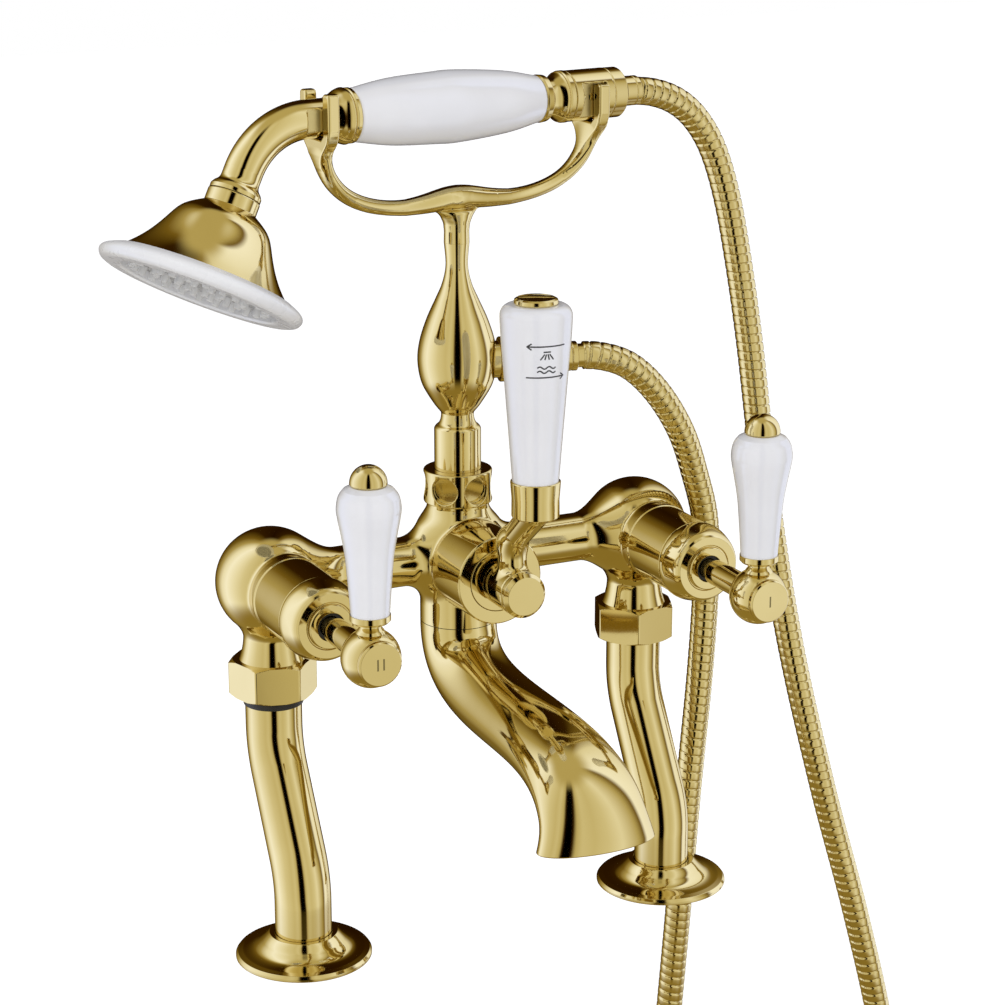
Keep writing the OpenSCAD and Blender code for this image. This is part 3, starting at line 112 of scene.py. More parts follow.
def new_material(name):
    """A material without nodes, its tree, and the place on the object."""
    material = bpy.data.materials.new(name)
    material.use_nodes = True
    tree = material.node_tree
    tree.nodes.clear()
    return material, tree, add_node(tree, "TexCoord")["Object"]


def show(tree, kind, inputs):
    """Adds the shader that a material shows."""
    add_node(tree, "OutputMaterial", {"Surface": add_node(tree, kind, inputs)[0]})


def noise(tree, place, scale, detail, roughness=0.5):
    inputs = {"Vector": place, "Scale": scale, "Detail": detail, "Roughness": roughness}
    return add_node(tree, "TexNoise", inputs)["Fac"]


def ramp(tree, value, stops):
    tint = add_node(tree, "ValToRGB", {"Fac": value})["Color"]
    ends = tint.node.color_ramp.elements
    while len(ends) < len(stops):
        ends.new(0.5)
    for end, (at, colour) in zip(ends, stops):
        end.position = at
        end.color = (*colour, 1)
    return tint


def between(tree, value, low, high, start=0, end=1, **settings):
    """A value that goes from low to high while another goes from start to end."""
    inputs = {"Value": value, "To Min": low, "To Max": high, "From Min": start, "From Max": end}
    return add_node(tree, "MapRange", inputs, **settings)["Result"]


def surface(name, tints, clouds, smears, rough, relief, values):
    """A material with two tints in clouds, a roughness that changes in smears, and a fine relief."""
    material, tree, place = new_material(name)
    scale, detail, strength, distance = relief
    bumps = {"Height": noise(tree, place, scale, detail), "Strength": strength, "Distance": distance}
    show(tree, "BsdfPrincipled", {"Base Color": ramp(tree, noise(tree, place, *clouds), tints),
                                  "Roughness": between(tree, noise(tree, place, *smears), *rough),
                                  "Normal": add_node(tree, "Bump", bumps)["Normal"], **values})
    return material


def polished_gold(name, tint=1.0, rough=(0.045, 0.085), ripple=0.008):
    """Polished plating with faint wiping marks and the slight ripple of hand polishing."""
    deep = tuple(c * tint for c in (0.675, 0.555, 0.248))
    pale = tuple(c * tint for c in (0.725, 0.605, 0.285))
    return surface(name, [(0.3, deep), (0.7, pale)], (26, 3), (170, 5, 0.62), rough, (46, 1.5, ripple, 0.004),
                   {"Metallic": 1.0})


def glazed_white(name, colour, rough, coat=0.0):
    """Glazed ceramic or glossy plastic, with the slight orange peel of a glaze."""
    low = tuple(0.965 * c for c in colour)
    return surface(name, [(0.35, low), (0.65, colour)], (34, 4), (120, 3), rough, (210, 2, 0.015, 0.0006),
                   {"Coat Weight": coat, "Coat Roughness": 0.05})


def dull(name, dark, light, rough, scale, grain):
    """Rubber, fibre or printed ink: a mottled matt surface with a fine grain."""
    return surface(name, [(0.3, dark), (0.7, light)], (scale, 4), (scale * 2, 3), rough,
                   (scale * 5, 3, grain, 0.0004), {})


GOLD = polished_gold("polished_gold")
HOSE_GOLD = polished_gold("hose_gold", 0.97, (0.07, 0.14), 0.006)
INNER_GOLD = polished_gold("machined_gold", 0.86, (0.2, 0.34), 0.03)
MILLED_GOLD = polished_gold("milled_gold", 0.9, (0.30, 0.42), 0.02)
ENGRAVED = polished_gold("engraved_gold", 0.34, (0.3, 0.45), 0.02)
CERAMIC = glazed_white("white_ceramic", (0.865, 0.862, 0.89), (0.07, 0.12), 0.35)
PLASTIC = glazed_white("white_plastic", (0.88, 0.878, 0.89), (0.22, 0.34))
# The spray plate's grey is partly its own colour and mostly painted shade of its recess inside the white rim.
PLATE_WITH_PAINTED_SHADE = glazed_white("plate_plastic_painted_shade", (0.44, 0.435, 0.43), (0.26, 0.38))
SILICONE = surface("clear_silicone", [(0.35, (0.80, 0.795, 0.785)), (0.65, (0.87, 0.865, 0.855))], (260, 3),
                   (300, 2), (0.3, 0.45), (900, 2, 0.05, 0.0004), {"Transmission Weight": 0.08, "IOR": 1.41})
RUBBER = dull("black_rubber", (0.008, 0.008, 0.008), (0.022, 0.021, 0.020), (0.38, 0.55), 240, 0.2)
FIBRE = dull("red_fibre", (0.16, 0.05, 0.03), (0.24, 0.08, 0.05), (0.6, 0.8), 400, 0.3)
INK = dull("printed_ink", (0.035, 0.035, 0.04), (0.06, 0.06, 0.065), (0.3, 0.45), 500, 0.05)


# Curves and outlines
def spline(points, steps):
    """The smooth curve through a list of points that the solids follow too."""
    p = asarray(points, float)
    out = []
    for i in range(len(p) - 1):
        a, b, c, d = p[max(i - 1, 0)], p[i], p[i + 1], p[min(i + 2, len(p) - 1)]
        for k in range(steps):
            t = k / steps
            out.append((2 * b + (c - a) * t + (2 * a - 5 * b + 4 * c - d) * t * t
                        + (3 * b - a - 3 * c + d) * t ** 3) / 2)
    return array(out + [p[-1]])


def smooth(points, steps=8):
    return [tuple(p) for p in spline(points, steps)]


def bezier(p, t):
    return p[0] * (1 - t) ** 3 + p[1] * 3 * t * (1 - t) ** 2 + p[2] * 3 * t * t * (1 - t) + p[3] * t ** 3


def ease(p, rounds):
    """Smooths out the bumps of a line of points, but for its ends."""
    for _ in range(rounds):
        p[1:-1] = (p[:-2] + 2 * p[1:-1] + p[2:]) / 4
    return p


def lengths(line):
    """The length along a line up to each of its points."""
    return np.concatenate([[0], np.cumsum(norm(np.diff(line, axis=0), axis=1))])


def points_at(line, s):
    """The points of a line at the lengths s along it."""
    along = lengths(line)
    return column_stack([interp(s, along, part) for part in line.T])


def arc(centre, r, start, end, n):
    angles = np.radians(linspace(start, end, n + 1))
    return [(centre[0] + r * cos(a), centre[1] + r * sin(a)) for a in angles]


def soften(outline, closed, radius):
    """Rounds the sharp corners of an outline, so that each edge catches the light."""
    sharp, most = radians(24), 0.42
    p = [asarray(q, float) for q in outline]
    out = []
    for i, at in enumerate(p):
        if not closed and i in (0, len(p) - 1):
            out.append(at)
            continue
        u, v = p[i - 1] - at, p[(i + 1) % len(p)] - at
        lu, lv = norm(u), norm(v)
        if lu < 1e-9 or lv < 1e-9:
            continue
        u, v = u / lu, v / lv
        turn = pi - acos(max(-1, min(1, float(u @ v))))
        if turn < sharp:
            out.append(at)
            continue
        reach = min(radius * tan(turn / 2), most * lu, most * lv)
        for t in linspace(0, 1, 6):
            out.append(at + u * reach * (1 - t) ** 2 + v * reach * t ** 2)
    return array(out)


def frame_at(origin, axis=(0, 0, 1), hint=(1, 0, 0)):
    """A place with its own Z along an axis."""
    z = unit(axis)
    x = unit(hint - z * (z @ hint))
    return asarray(origin, float), column_stack([x, np.cross(z, x), z])


def forward(side):
    return frame_at((side * SIDE_X, BAR_Y, BAR_Z), (0, -1, 0))


def upright(side, reach):
    return frame_at((side * SIDE_X, BAR_Y - reach, BAR_Z))


COLUMN = frame_at((0, BAR_Y, 0))
ALONG = array([cos(CRADLE_TURN), sin(CRADLE_TURN), 0.0])
ACROSS = array([-ALONG[1], ALONG[0], 0.0])
UP = array([0.0, 0.0, 1.0])
HANDSET = frame_at((0, BAR_Y, HANDSET_Z), ALONG, UP)
OUTLET = frame_at((0, BAR_Y, OUTLET_Z), (cos(OUTLET_BEARING), sin(OUTLET_BEARING), 0), UP)
NECK_BEND, BEND_START = 36.0, -71.5
NECK_DOWN = -cos(HEAD_ROLL) * UP - sin(HEAD_ROLL) * ACROSS
HEAD_WAY = -sin(HEAD_TILT) * ALONG + cos(HEAD_TILT) * NECK_DOWN
HEAD_START = (HANDSET[0] + BEND_START * ALONG
              + NECK_BEND * (-cos(HEAD_TILT) * ALONG + (1 - sin(HEAD_TILT)) * NECK_DOWN))
HEAD = frame_at(HEAD_START, HEAD_WAY, ACROSS)


# Meshes
def finish_piece(obj, node, body):
    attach(obj, body)
    if node:
        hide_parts(node)


def new_object(name, verts, faces, material):
    mesh = bpy.data.meshes.new(name)
    mesh.from_pydata((asarray(verts, float) * MM).tolist(), [], faces)
    mesh.materials.append(material)
    mesh.shade_smooth()
    obj = bpy.data.objects.new(name, mesh)
    scene.collection.objects.link(obj)
    return obj


def lathe(outline, place, n=96, ring=False, edge=0.35):
    """A turned form as (points, faces, normals of the faces' corners), from points of radius and height."""
    p = outline if ring else [(0, outline[0][1])] + outline + [(0, outline[-1][1])]
    p = [q for i, q in enumerate(p) if i == 0 or dist(q, p[i - 1]) > 1e-6]
    p = soften(p, ring, edge)
    count = len(p)
    area = sum(p[i][0] * p[(i + 1) % count][1] - p[(i + 1) % count][0] * p[i][1] for i in range(count))
    if area < 0:
        p = p[::-1]
    last = count if ring else count - 1
    step = array([p[(i + 1) % count] - p[i] for i in range(last)])
    length = maximum(norm(step, axis=1), 1e-9)
    side = column_stack([step[:, 1], -step[:, 0]]) / length[:, None]
    c, s = np.cos(around(n)), np.sin(around(n))
    here = np.arange(n)
    after = (here + 1) % n

    def spread(r, z):
        return column_stack([r * c, r * s, np.full(n, z)])

    def corner(i, other):
        """Normal of the outline's part i at the point that it shares with part other."""
        if not ring and not 0 <= other < last:
            return side[i]
        other %= last
        if side[i] @ side[other] < 0.6:
            return side[i]
        return unit(side[i] * length[i] + side[other] * length[other])

    def edge_of(i, normal, order):
        """Points and normals at one edge of a strip of faces: a ring, or the one point on the axis."""
        if p[i][0] < 1e-6:
            return [(np.full(n, start[i]), spread(*normal))]
        return [(start[i] + turn, spread(*normal)[turn]) for turn in order]

    local = [array([[0, 0, z]]) if r < 1e-6 else spread(r, z) for r, z in p]
    start = np.cumsum([0] + [len(part) for part in local])
    faces, normals = [], []
    for i in range(last):
        turn = edge_of(i, corner(i, i - 1), (here, after))
        turn += edge_of((i + 1) % count, corner(i, i + 1), (after, here))
        if len(turn) < 3:
            continue
        faces.extend(np.stack([t[0] for t in turn], axis=1).tolist())
        normals.append(np.stack([t[1] for t in turn], axis=1).reshape(-1, 3))
    origin, axes = place
    return vstack(local) @ axes.T + origin, faces, vstack(normals) @ axes.T


def join(parts):
    verts, faces, normals = zip(*parts)
    start = np.cumsum([0] + [len(v) for v in verts]).tolist()
    faces = [[i + first for i in face] for first, some in zip(start, faces) for face in some]
    return vstack(verts), faces, vstack(normals)


def turned(name, form, node=None, body="mixer", material=GOLD):
    """A piece of one turned form, or of several that are joined."""
    verts, faces, normals = form
    obj = new_object(name, verts, faces, material)
    obj.data.normals_split_custom_set(normals.tolist())
    finish_piece(obj, node, body)


def band(inner, outer, low, high):
    """The outline of a plain flat ring."""
    return [(inner, low), (outer, low), (outer, high), (inner, high)]


def tube_mesh(rings, closed):
    """A form through rings of equal count. It comes back to the first ring, or has flat ends."""
    n, count = len(rings[0]), len(rings)
    faces = []
    for i in range(count if closed else count - 1):
        a, b = i * n, (i + 1) % count * n
        faces += [[a + j, a + (j + 1) % n, b + (j + 1) % n, b + j] for j in range(n)]
    if not closed:
        faces += [list(range(n))[::-1], list(range((count - 1) * n, count * n))]
    return vstack(rings), faces


def facing_out(obj):
    made = bmesh.new()
    made.from_mesh(obj.data)
    bmesh.ops.recalc_face_normals(made, faces=made.faces)
    made.to_mesh(obj.data)
    made.free()


def formed(name, rings, node, angle=38, shift=(0, 0, 0)):
    """A golden pipe through rings, smooth but for its sharp edges."""
    verts, faces = tube_mesh(rings, True)
    obj = new_object(name, verts + shift, faces, GOLD)
    facing_out(obj)
    obj.data.set_sharp_from_angle(angle=radians(angle))
    finish_piece(obj, node, "mixer")


# Hose: the route of the solids from the handset down and up to the outlet
HOSE_ROUTE = [(102, 41, 363), (115, 42, 358), (126, 43, 349), (135, 43, 335), (142, 42, 314), (148, 41, 286),
              (155, 39, 242), (163, 33, 168), (173, 24, 96), (188, 15, 24), (206, 9, -44), (222, 5, -112),
              (231, 3, -180), (234, 5, -242), (233, 8, -296), (225, 11, -325), (203, 16, -347),
              (172, 21, -355), (141, 27, -347), (119, 32, -325), (111, 35, -296), (110, 36, -242),
              (111, 36, -176), (114, 34, -108), (118, 32, -40), (122, 31, 26), (126, 29, 88), (127, 27, 134),
              (124, 24, 165), (116, 21, 190), (106, 17, 212), (92, 14, 232), (77, 13, 246), (62, 14, 252)]


def add_hose():
    """The wound metal hose: one long ribbed tube whose groove runs round it as a screw."""
    high, end_r, crown, groove_deep, groove_start, groove_wide = 6.3, 5.3, 0.07, 0.75, 0.78, 0.2
    count, sides, pitch, plain = 5600, 24, 4.3, 18.6
    start = [HANDSET[0] + ALONG * s for s in (75.7, 87.7)]
    end = [OUTLET[0] + OUTLET[1][:, 2] * s for s in (49.8, 37.8)]
    line = spline(vstack([start, HOSE_ROUTE, end]), 8)
    total = lengths(line)[-1]
    s = linspace(0, total, count)
    at = ease(points_at(line, s), 6)
    way = unit(np.gradient(at, axis=0))
    back = array([0.25, 0.97, 0])
    u = unit(back - way * (way @ back)[:, None])
    v = np.cross(way, u)
    turn = around(sides)
    phase = (s[:, None] / pitch + turn / (2 * pi)) % 1
    off = abs(phase - 0.5) * 2
    groove = clip((off - groove_start) / groove_wide, 0, 1)
    r = high - crown * off ** 2 - groove_deep * groove * groove * (3 - 2 * groove)
    r = np.where(minimum(s, total - s)[:, None] < plain, end_r, r)
    out = np.cos(turn)[:, None] * u[:, None] + np.sin(turn)[:, None] * v[:, None]
    rings = at[:, None] + r[:, :, None] * out
    hose = new_object("wound_hose", *tube_mesh(list(rings), False), HOSE_GOLD)
    facing_out(hose)
    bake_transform(hose)
    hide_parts("shower_hose")


add_hose()


# Cast pieces are fields: distances in millimetres, negative inside
def melt(a, b, k):
    """Both fields joined, with a round fillet between them."""
    return maximum(k, minimum(a, b)) - hypot(maximum(k - a, 0), maximum(k - b, 0))


def carve(a, b, k):
    """The first field without the second, with a rounded edge."""
    return minimum(-k, maximum(a, -b)) + hypot(maximum(k + a, 0), maximum(k - b, 0))


def overlap(u, v, edge):
    """What is inside both fields, with a rounded edge."""
    u, v = u + edge, v + edge
    return minimum(maximum(u, v), 0) + hypot(maximum(u, 0), maximum(v, 0)) - edge


def rod(p, start, end, start_r, end_r):
    start, way = asarray(start, float), np.subtract(end, start).astype(float)
    t = clip((p - start) @ way / (way @ way), 0, 1)
    return norm(p - start - t[:, None] * way, axis=1) - (start_r + (end_r - start_r) * t)


def drum(q, h, r, start, end, edge):
    """A round drum with rounded edges, from the distance q to its axis and the height h along it."""
    return overlap(q - r, abs(h - (start + end) / 2) - (end - start) / 2, edge)


def from_segment(u, v, a, b):
    """The share along the segment from a to b, and the distance from it, of the points (u, v)."""
    way = b - a
    t = clip(((u - a[0]) * way[0] + (v - a[1]) * way[1]) / (way @ way), 0, 1)
    return t, hypot(u - a[0] - t * way[0], v - a[1] - t * way[1])


def slope(field, p):
    out, reach = np.empty_like(p), 0.02
    for k, d in enumerate(np.eye(3) * reach):
        out[:, k] = (field(p + d) - field(p - d)) / (2 * reach)
    return out


def grid(counts):
    return np.stack(np.meshgrid(*[np.arange(c) for c in counts], indexing="ij"), -1).reshape(-1, 3)


def surface_net(field, lo, hi, h):
    """Points and faces on the zero of a field, from a grid of spacing h that is coarse away from it."""
    lo, block = asarray(lo, float), 4
    count = np.ceil((asarray(hi) - lo) / (block * h)).astype(int)
    cells = grid(count)
    rough = field(lo + (cells + 0.5) * block * h)
    value = rough.reshape(count).repeat(block, 0).repeat(block, 1).repeat(block, 2)
    near = cells[abs(rough) < 1.5 * block * h]
    fine = (near[:, None, :] * block + grid([block] * 3)[None]).reshape(-1, 3)
    value[tuple(fine.T)] = field(lo + (fine + 0.5) * h)
    inside = value < 0
    size = array(value.shape) - 1
    ends, axes = grid([2] * 3), np.eye(3, dtype=int)
    full = sum(inside[tuple(slice(o, o + n) for o, n in zip(e, size))].astype(int) for e in ends)
    active = np.argwhere((full > 0) & (full < 8))
    at, hits = zeros((len(active), 3)), zeros(len(active))
    for axis in range(3):
        for e in ends[ends[:, axis] == 0]:
            other = e + axes[axis]
            a, b = value[tuple((active + e).T)], value[tuple((active + other).T)]
            cross = (a < 0) != (b < 0)
            t = np.where(cross, a / np.where(cross, a - b, 1), 0)
            at += cross[:, None] * (e + t[:, None] * (other - e))
            hits += cross
    ids = np.full(size, -1)
    ids[tuple(active.T)] = np.arange(len(active))
    faces = []
    for axis in range(3):
        u, v = axes[(axis + 1) % 3], axes[(axis + 2) % 3]
        first = np.take(inside, range(size[axis]), axis)
        edge = np.argwhere(first != np.take(inside, range(1, size[axis] + 1), axis))
        edge = edge[np.all((edge - u - v >= 0) & (edge < size), axis=1)]
        quad = np.stack([ids[tuple((edge - o).T)] for o in (u + v, v, 0 * u, u)], 1)
        back = ~first[tuple(edge.T)]
        quad[back] = quad[back][:, ::-1]
        faces.extend(quad[np.all(quad >= 0, axis=1)].tolist())
    return lo + (active + 0.5 + at / hits[:, None]) * h, faces


def settle(field, p):
    """Moves points onto the zero of a field, in three rounds."""
    for _ in range(3):
        g = slope(field, p)
        p = p - (field(p) / maximum((g * g).sum(1), 0.05))[:, None] * g
    return p


def cast(name, field, lo, hi, h, node, body="mixer", cuts=(), milled=None):
    """A golden piece from a field, with a milled finish where milled holds. It is cut off by planes of a point
    and an outward normal. One with a reach cuts only that far from the X middle."""
    verts, faces = surface_net(field, lo, hi, h)
    made = bmesh.new()
    points = [made.verts.new(v) for v in settle(field, verts)]
    for f in faces:
        made.faces.new([points[i] for i in f])
    flat = made.faces.layers.int.new("flat")
    for point, normal, *reach in cuts:
        some = [f for f in made.faces if not reach or all(abs(v.co.x) < reach[0] for v in f.verts)]
        geom = dict.fromkeys(g for f in some for g in (f, *f.edges, *f.verts))
        out = bmesh.ops.bisect_plane(made, geom=list(geom), dist=1e-4, plane_co=point, plane_no=normal,
                                     clear_outer=True)
        rim = [e for e in out["geom_cut"] if isinstance(e, bmesh.types.BMEdge) and e.is_boundary]
        for face in bmesh.ops.holes_fill(made, edges=rim, sides=0)["faces"]:
            face[flat] = 1
    made.verts.index_update()
    verts = array([v.co for v in made.verts])
    faces = [[v.index for v in f.verts] for f in made.faces]
    caps = [tuple(f.normal) if f[flat] else None for f in made.faces]
    made.free()
    ways = unit(slope(field, verts))
    obj = new_object(name, verts, faces, GOLD)
    normals = []
    for f, cap in zip(faces, caps):
        normals.extend([cap] * len(f) if cap else ways[f].tolist())
    obj.data.normals_split_custom_set(normals)
    if milled:
        obj.data.materials.append(MILLED_GOLD)
        middles = array([verts[f].mean(axis=0) for f in faces])
        obj.data.polygons.foreach_set("material_index", milled(middles).astype(np.int32))
    finish_piece(obj, node, body)


def casting_field(p):
    """The mixer's body: bar, two balls with tails and stubs, and the middle with the diverter's boss."""
    x, y, z = abs(p[:, 0]), p[:, 1] - BAR_Y, p[:, 2] - BAR_Z
    out = x - SIDE_X
    bar = np.sqrt(y * y + z * z + maximum(out, 0) ** 2) - 11
    ball = np.sqrt(out * out + y * y + z * z) - 24
    waist, flare, tail_r = 23.92, 31.7, 12.5
    deep = clip(-z - waist, 0, 20)
    tail = maximum(hypot(out, y) - (tail_r + flare - np.sqrt(flare ** 2 - deep ** 2)), z)
    stub = maximum(hypot(out, z) - 16.8, y)
    narrow = clip((z - 15.5) / 8.5, 0, 1)
    middle = hypot(x, y) - (17.25 - 3.45 * narrow ** 2 * (3 - 2 * narrow))
    q, boss_r = hypot(x, z), 20
    cone = ((q - boss_r) * 14.25 - (-y - 16.25) * 5.75) / 15.37
    boss = maximum(maximum(q - boss_r, y), cone)
    ends = melt(melt(melt(bar, ball, 8.7), tail, 4), stub, 0.8)
    return melt(melt(ends, middle, 11), boss, 1.6)


cast("body_shell", casting_field, (-117, 2, 125), (117, 58, 193), 1.0, "body_casting",
     cuts=[((0, 3.6, 0), (0, -1, 0)), ((0, 0, NECK_TOP_Z), (0, 0, 1)),
           ((0, 0, 127), (0, 0, -1)), ((0, 0, JOINT_Z), (0, 0, -1), 40)])
turned("diverter_boss", lathe([(14, 20), (20, 20), (20, 42.4), (19.4, 43), (14, 43)], forward(0), 128, True))
turned("diverter_plate", lathe(band(6.5, 13.9, 39, 42.9), forward(0), 96, True), "diverter_bonnet")


# Spout: a loft whose rings widen from the round joint to the lipped mouth
def spout_rings():
    p = array([(0, 0), (0, -53), (-129, -1), (-134, -58)], float)
    joint_r, mouth_wide, mouth_deep, flare, gap = 17.25, 27, 12.25, 1.6, 0.8
    wall, tip, turn = 2.2, 0.7, around(96)

    def near_lip(t):
        return max(0, (t - 0.9) / 0.1)

    def ring(t, inset, ahead=0.0):
        way = unit((p[1] - p[0]) * (1 - t) ** 2 + (p[2] - p[1]) * 2 * t * (1 - t) + (p[3] - p[2]) * t * t)
        at = bezier(p, t) + way * ahead
        lip = flare * near_lip(t) ** 2
        wide = joint_r + (mouth_wide - joint_r - flare) * t ** 2.2 + lip - inset
        deep = joint_r + (mouth_deep - joint_r) * t ** 1.2 + lip / 2 - inset
        return column_stack([wide * np.cos(turn), BAR_Y + at[0] + way[1] * deep * np.sin(turn),
                                JOINT_Z - gap + at[1] - way[0] * deep * np.sin(turn)])

    outside = [ring(0, 0.5), ring(0, 0, -0.5)]
    outside += [ring(t, 0, -tip * near_lip(t)) for t in linspace(0.004, 1, 120)]
    rim = [ring(1, wall * (1 - cos(a)) / 2, tip * (sin(a) - 1))
           for a in linspace(0.2, pi - 0.2, 9)]
    return outside + rim + [ring(t, wall, -tip * near_lip(t)) for t in linspace(1, 0, 80)]


formed("spout_shell", spout_rings(), "spout")
turned("spout_gasket", lathe(band(13.45, 16.75, 0, 0.8), frame_at((0, BAR_Y, JOINT_Z - 0.8)), 96, True, 0.2),
       "spout_seal", material=RUBBER)


# Inlets: legs, deck flanges, union nuts and their seals
def leg_rings(side):
    bend, slant, foot, top = 40, radians(30), 25, 121
    pipe_r, bore_r, socket_r, socket_top = 12.5, 8, 9.3, 14
    run = (BAR_Y - 2 * bend * (1 - cos(slant))) / sin(slant)
    way = array([sin(slant), cos(slant)])

    def swing(a):
        """The way along a bend up to the angle a."""
        return array([bend * (1 - cos(a)), bend * sin(a)])

    knee = swing(slant) + (0, foot)
    far = knee + way * run + swing(slant)
    line = [((0, z), 0) for z in linspace(0, foot, 12)]
    line += [(swing(a) + (0, foot), a) for a in linspace(0, slant, 28)[1:]]
    line += [(knee + way * d, slant) for d in linspace(0, run, 8)[1:]]
    line += [(far - swing(a), a) for a in linspace(slant, 0, 28)[1:]]
    line += [((BAR_Y, z), 0) for z in linspace(far[1], top, 8)[1:]]
    turn = around(72)

    def ring(place, r):
        (y, z), a = place
        return column_stack([side * SIDE_X + r * np.cos(turn), y + r * np.sin(turn) * cos(a),
                                z - r * np.sin(turn) * sin(a)])

    def level(z, r):
        return ring(((0, z), 0), r)

    outside = [level(0, pipe_r - 0.4), level(0.4, pipe_r)] + [ring(q, pipe_r) for q in line[1:]]
    inside = [ring(q, bore_r) for q in line[::-1] if q[0][1] > socket_top]
    inside += [level(socket_top, bore_r), level(socket_top, socket_r), level(0.5, socket_r)]
    return outside + inside + [level(0, socket_r + 0.5)]


def nut_rings(turn):
    flats, high, chamfer = 34.0, 16.4, 2.2
    foot_r, thread_r, hole_r = 13.4, 14.35, 12.7
    corner = flats / 2 / cos(pi / 6)
    hexagon = [(corner * cos(a), corner * sin(a)) for a in np.radians(turn + 60 * np.arange(6))]
    p = soften(hexagon, True, 1.0)
    p = vstack([p, p[:1]])
    length = lengths(p)
    s = np.unique(np.concatenate([linspace(0, length[-1], 300, endpoint=False), length[:-1]]).round(5))
    p = points_at(p, s)
    r = norm(p, axis=1)

    def ring(z, limit):
        scale = minimum(r, limit) / r
        return column_stack([p * scale[:, None], np.full(len(p), z)])

    rise = chamfer * 0.6
    up = [(z * rise, corner - chamfer + chamfer * z) for z in linspace(0, 1, 10)]
    outside = [ring(z, limit) for z, limit in up + [(high - z, limit) for z, limit in up[::-1]]]
    inside = [ring(high, thread_r), ring(4, thread_r), ring(4, hole_r), ring(2.6, hole_r)]
    return [ring(2.6, foot_r), ring(0, foot_r)] + outside + inside


def add_inlet(name, side, nut_turn, slipped):
    formed(name + "_leg_pipe", leg_rings(side), name + "_leg")
    hole, lip, wide, high, nut_z = 12.7, 15.8, 30.0, 11.0, 112.6
    rose = [(hole, 0), (wide, 0), (wide, 1.4), (wide - 0.9, 2.6)]
    rose += smooth([(wide - 3, 3.2), (wide - 8, 4.6), (lip + 2.6, high - 3.6), (lip + 0.5, high - 1.4)], 14)
    rose += [(lip, high - 0.8), (lip - 0.8, high), (hole, high)]
    foot = frame_at((side * SIDE_X, 0, 0))
    turned(name + "_deck_rose", lathe(rose, foot, 128, True, 0.4), name + "_flange")
    formed(name + "_hex_nut", nut_rings(nut_turn), name + "_union_nut", 26, (side * SIDE_X, BAR_Y, nut_z))
    seal = frame_at((side * SIDE_X, BAR_Y, nut_z - slipped))
    turned(name + "_union_seal", lathe(band(12.55, 13.2, 0, 2.6), seal, 96, True, 0.25), name + "_leg_seal",
           material=RUBBER)


add_inlet("hot", -1, 46, 4.3)
add_inlet("cold", 1, 9, 0)


# Valves with their levers
def add_valve(name, side):
    axis, lever = forward(side), name + "_lever"
    r, back, bead, end, nose, hole, ring = 17.2, 23.0, 54.8, 67.5, 14.8, 6.0, 9.6
    shroud = [(14.0, back), (r - 0.3, back), (r + 0.4, back + 0.7), (r + 0.4, back + 2.2), (r, back + 2.8),
              (r, bead - 1.4), (r - 0.5, bead - 0.9), (r - 0.5, bead - 0.5), (r + 0.5, bead)]
    shroud += smooth([(r + 0.6, bead + 1.2), (r + 0.3, bead + 4), (nose + 1.2, end - 3),
                      (nose, end - 0.8)], 12)
    shroud += [(nose - 0.8, end), (ring + 0.8, end), (ring + 0.7, end - 0.7), (ring, end - 0.7),
               (ring, end + 1.1), (ring - 0.4, end + 1.5), (hole, end + 1.5), (hole, 59.5), (8.0, 59.5),
               (8.0, 41), (14.0, 41)]
    turned(name + "_shroud", lathe(shroud, axis, 128, True, 0.3), name + "_bonnet")
    turned(name + "_spindle_ring", lathe(band(4.5, hole, 65.2, 67.6), axis, 72, True, 0.2),
           name + "_spindle_seal", material=RUBBER)
    turned(name + "_valve_stem", lathe([(4.2, 21.3), (4.2, 106)], axis, 72), name + "_spindle", lever,
           INNER_GOLD)
    reach, ball, neck, fillet = 110.0, 12.3, 5.6, 1.6
    deep = sqrt((ball + fillet) ** 2 - (neck + fillet) ** 2)
    meet = degrees(atan2(deep, -(neck + fillet)))
    knob = [(neck - 0.7, 73.6), (neck, 74.4)] + arc((neck + fillet, reach - deep), fillet, 180, meet, 10)
    knob += arc((0, reach), ball, meet - 180, 40, 64)
    top = upright(side, reach)
    stalk = [(6.5, ball * 0.8)] + smooth([(5.5, 11.7), (4.3, 13.3), (4.1, 14.3), (4.5, 14.6)], 8)
    stalk += [(7.3, 15), (8.3, 16), (8.3, 18.4), (7.95, 18.4), (7.95, 17.5)]
    turned(name + "_lever_ball", join([lathe(knob, axis, 128, edge=0.3), lathe(stalk, top, 96, edge=0.25)]),
           name + "_hub", lever)
    seat, front, cap = reach + ball * 0.36, reach + ball * 0.83, 9.4
    turned(name + "_cap", lathe([(cap, seat), (cap, front - 0.7), (cap - 0.7, front)], axis, 96, edge=0.3),
           name + "_index_cap", lever)
    base, high, foot, wide, tip, rod_r = 17.5, 54.0, 7.9, 13.0, 7.6, 2.7
    crown, more = base + high, wide - foot
    grip = [(rod_r, base), (foot - 0.5, base), (foot, base + 0.6)]
    grip += smooth([(foot + 0.1, base + 2), (foot + 0.7, base + high * 0.2),
                    (foot + more * 0.37, base + high * 0.46), (foot + more * 0.68, base + high * 0.64),
                    (wide - 0.5, base + high * 0.75), (wide, base + high * 0.83), (wide - 0.8, crown - 4.4),
                    (tip + 2.6, crown - 1.4)], 14)
    grip += [(tip - 0.2, crown), (rod_r, crown)]
    turned(name + "_ceramic_lever", lathe(grip, top, 128, True, 0.4), name + "_handle", lever, CERAMIC)
    dome = [(2.5, base - 6), (2.5, crown), (tip - 0.6, crown), (tip, crown + 0.8)]
    dome += arc((0, crown + 1), tip, 0, 90, 30)
    turned(name + "_dome", lathe(dome, top, 96, edge=0.25), name + "_finial", lever)
    return axis, front


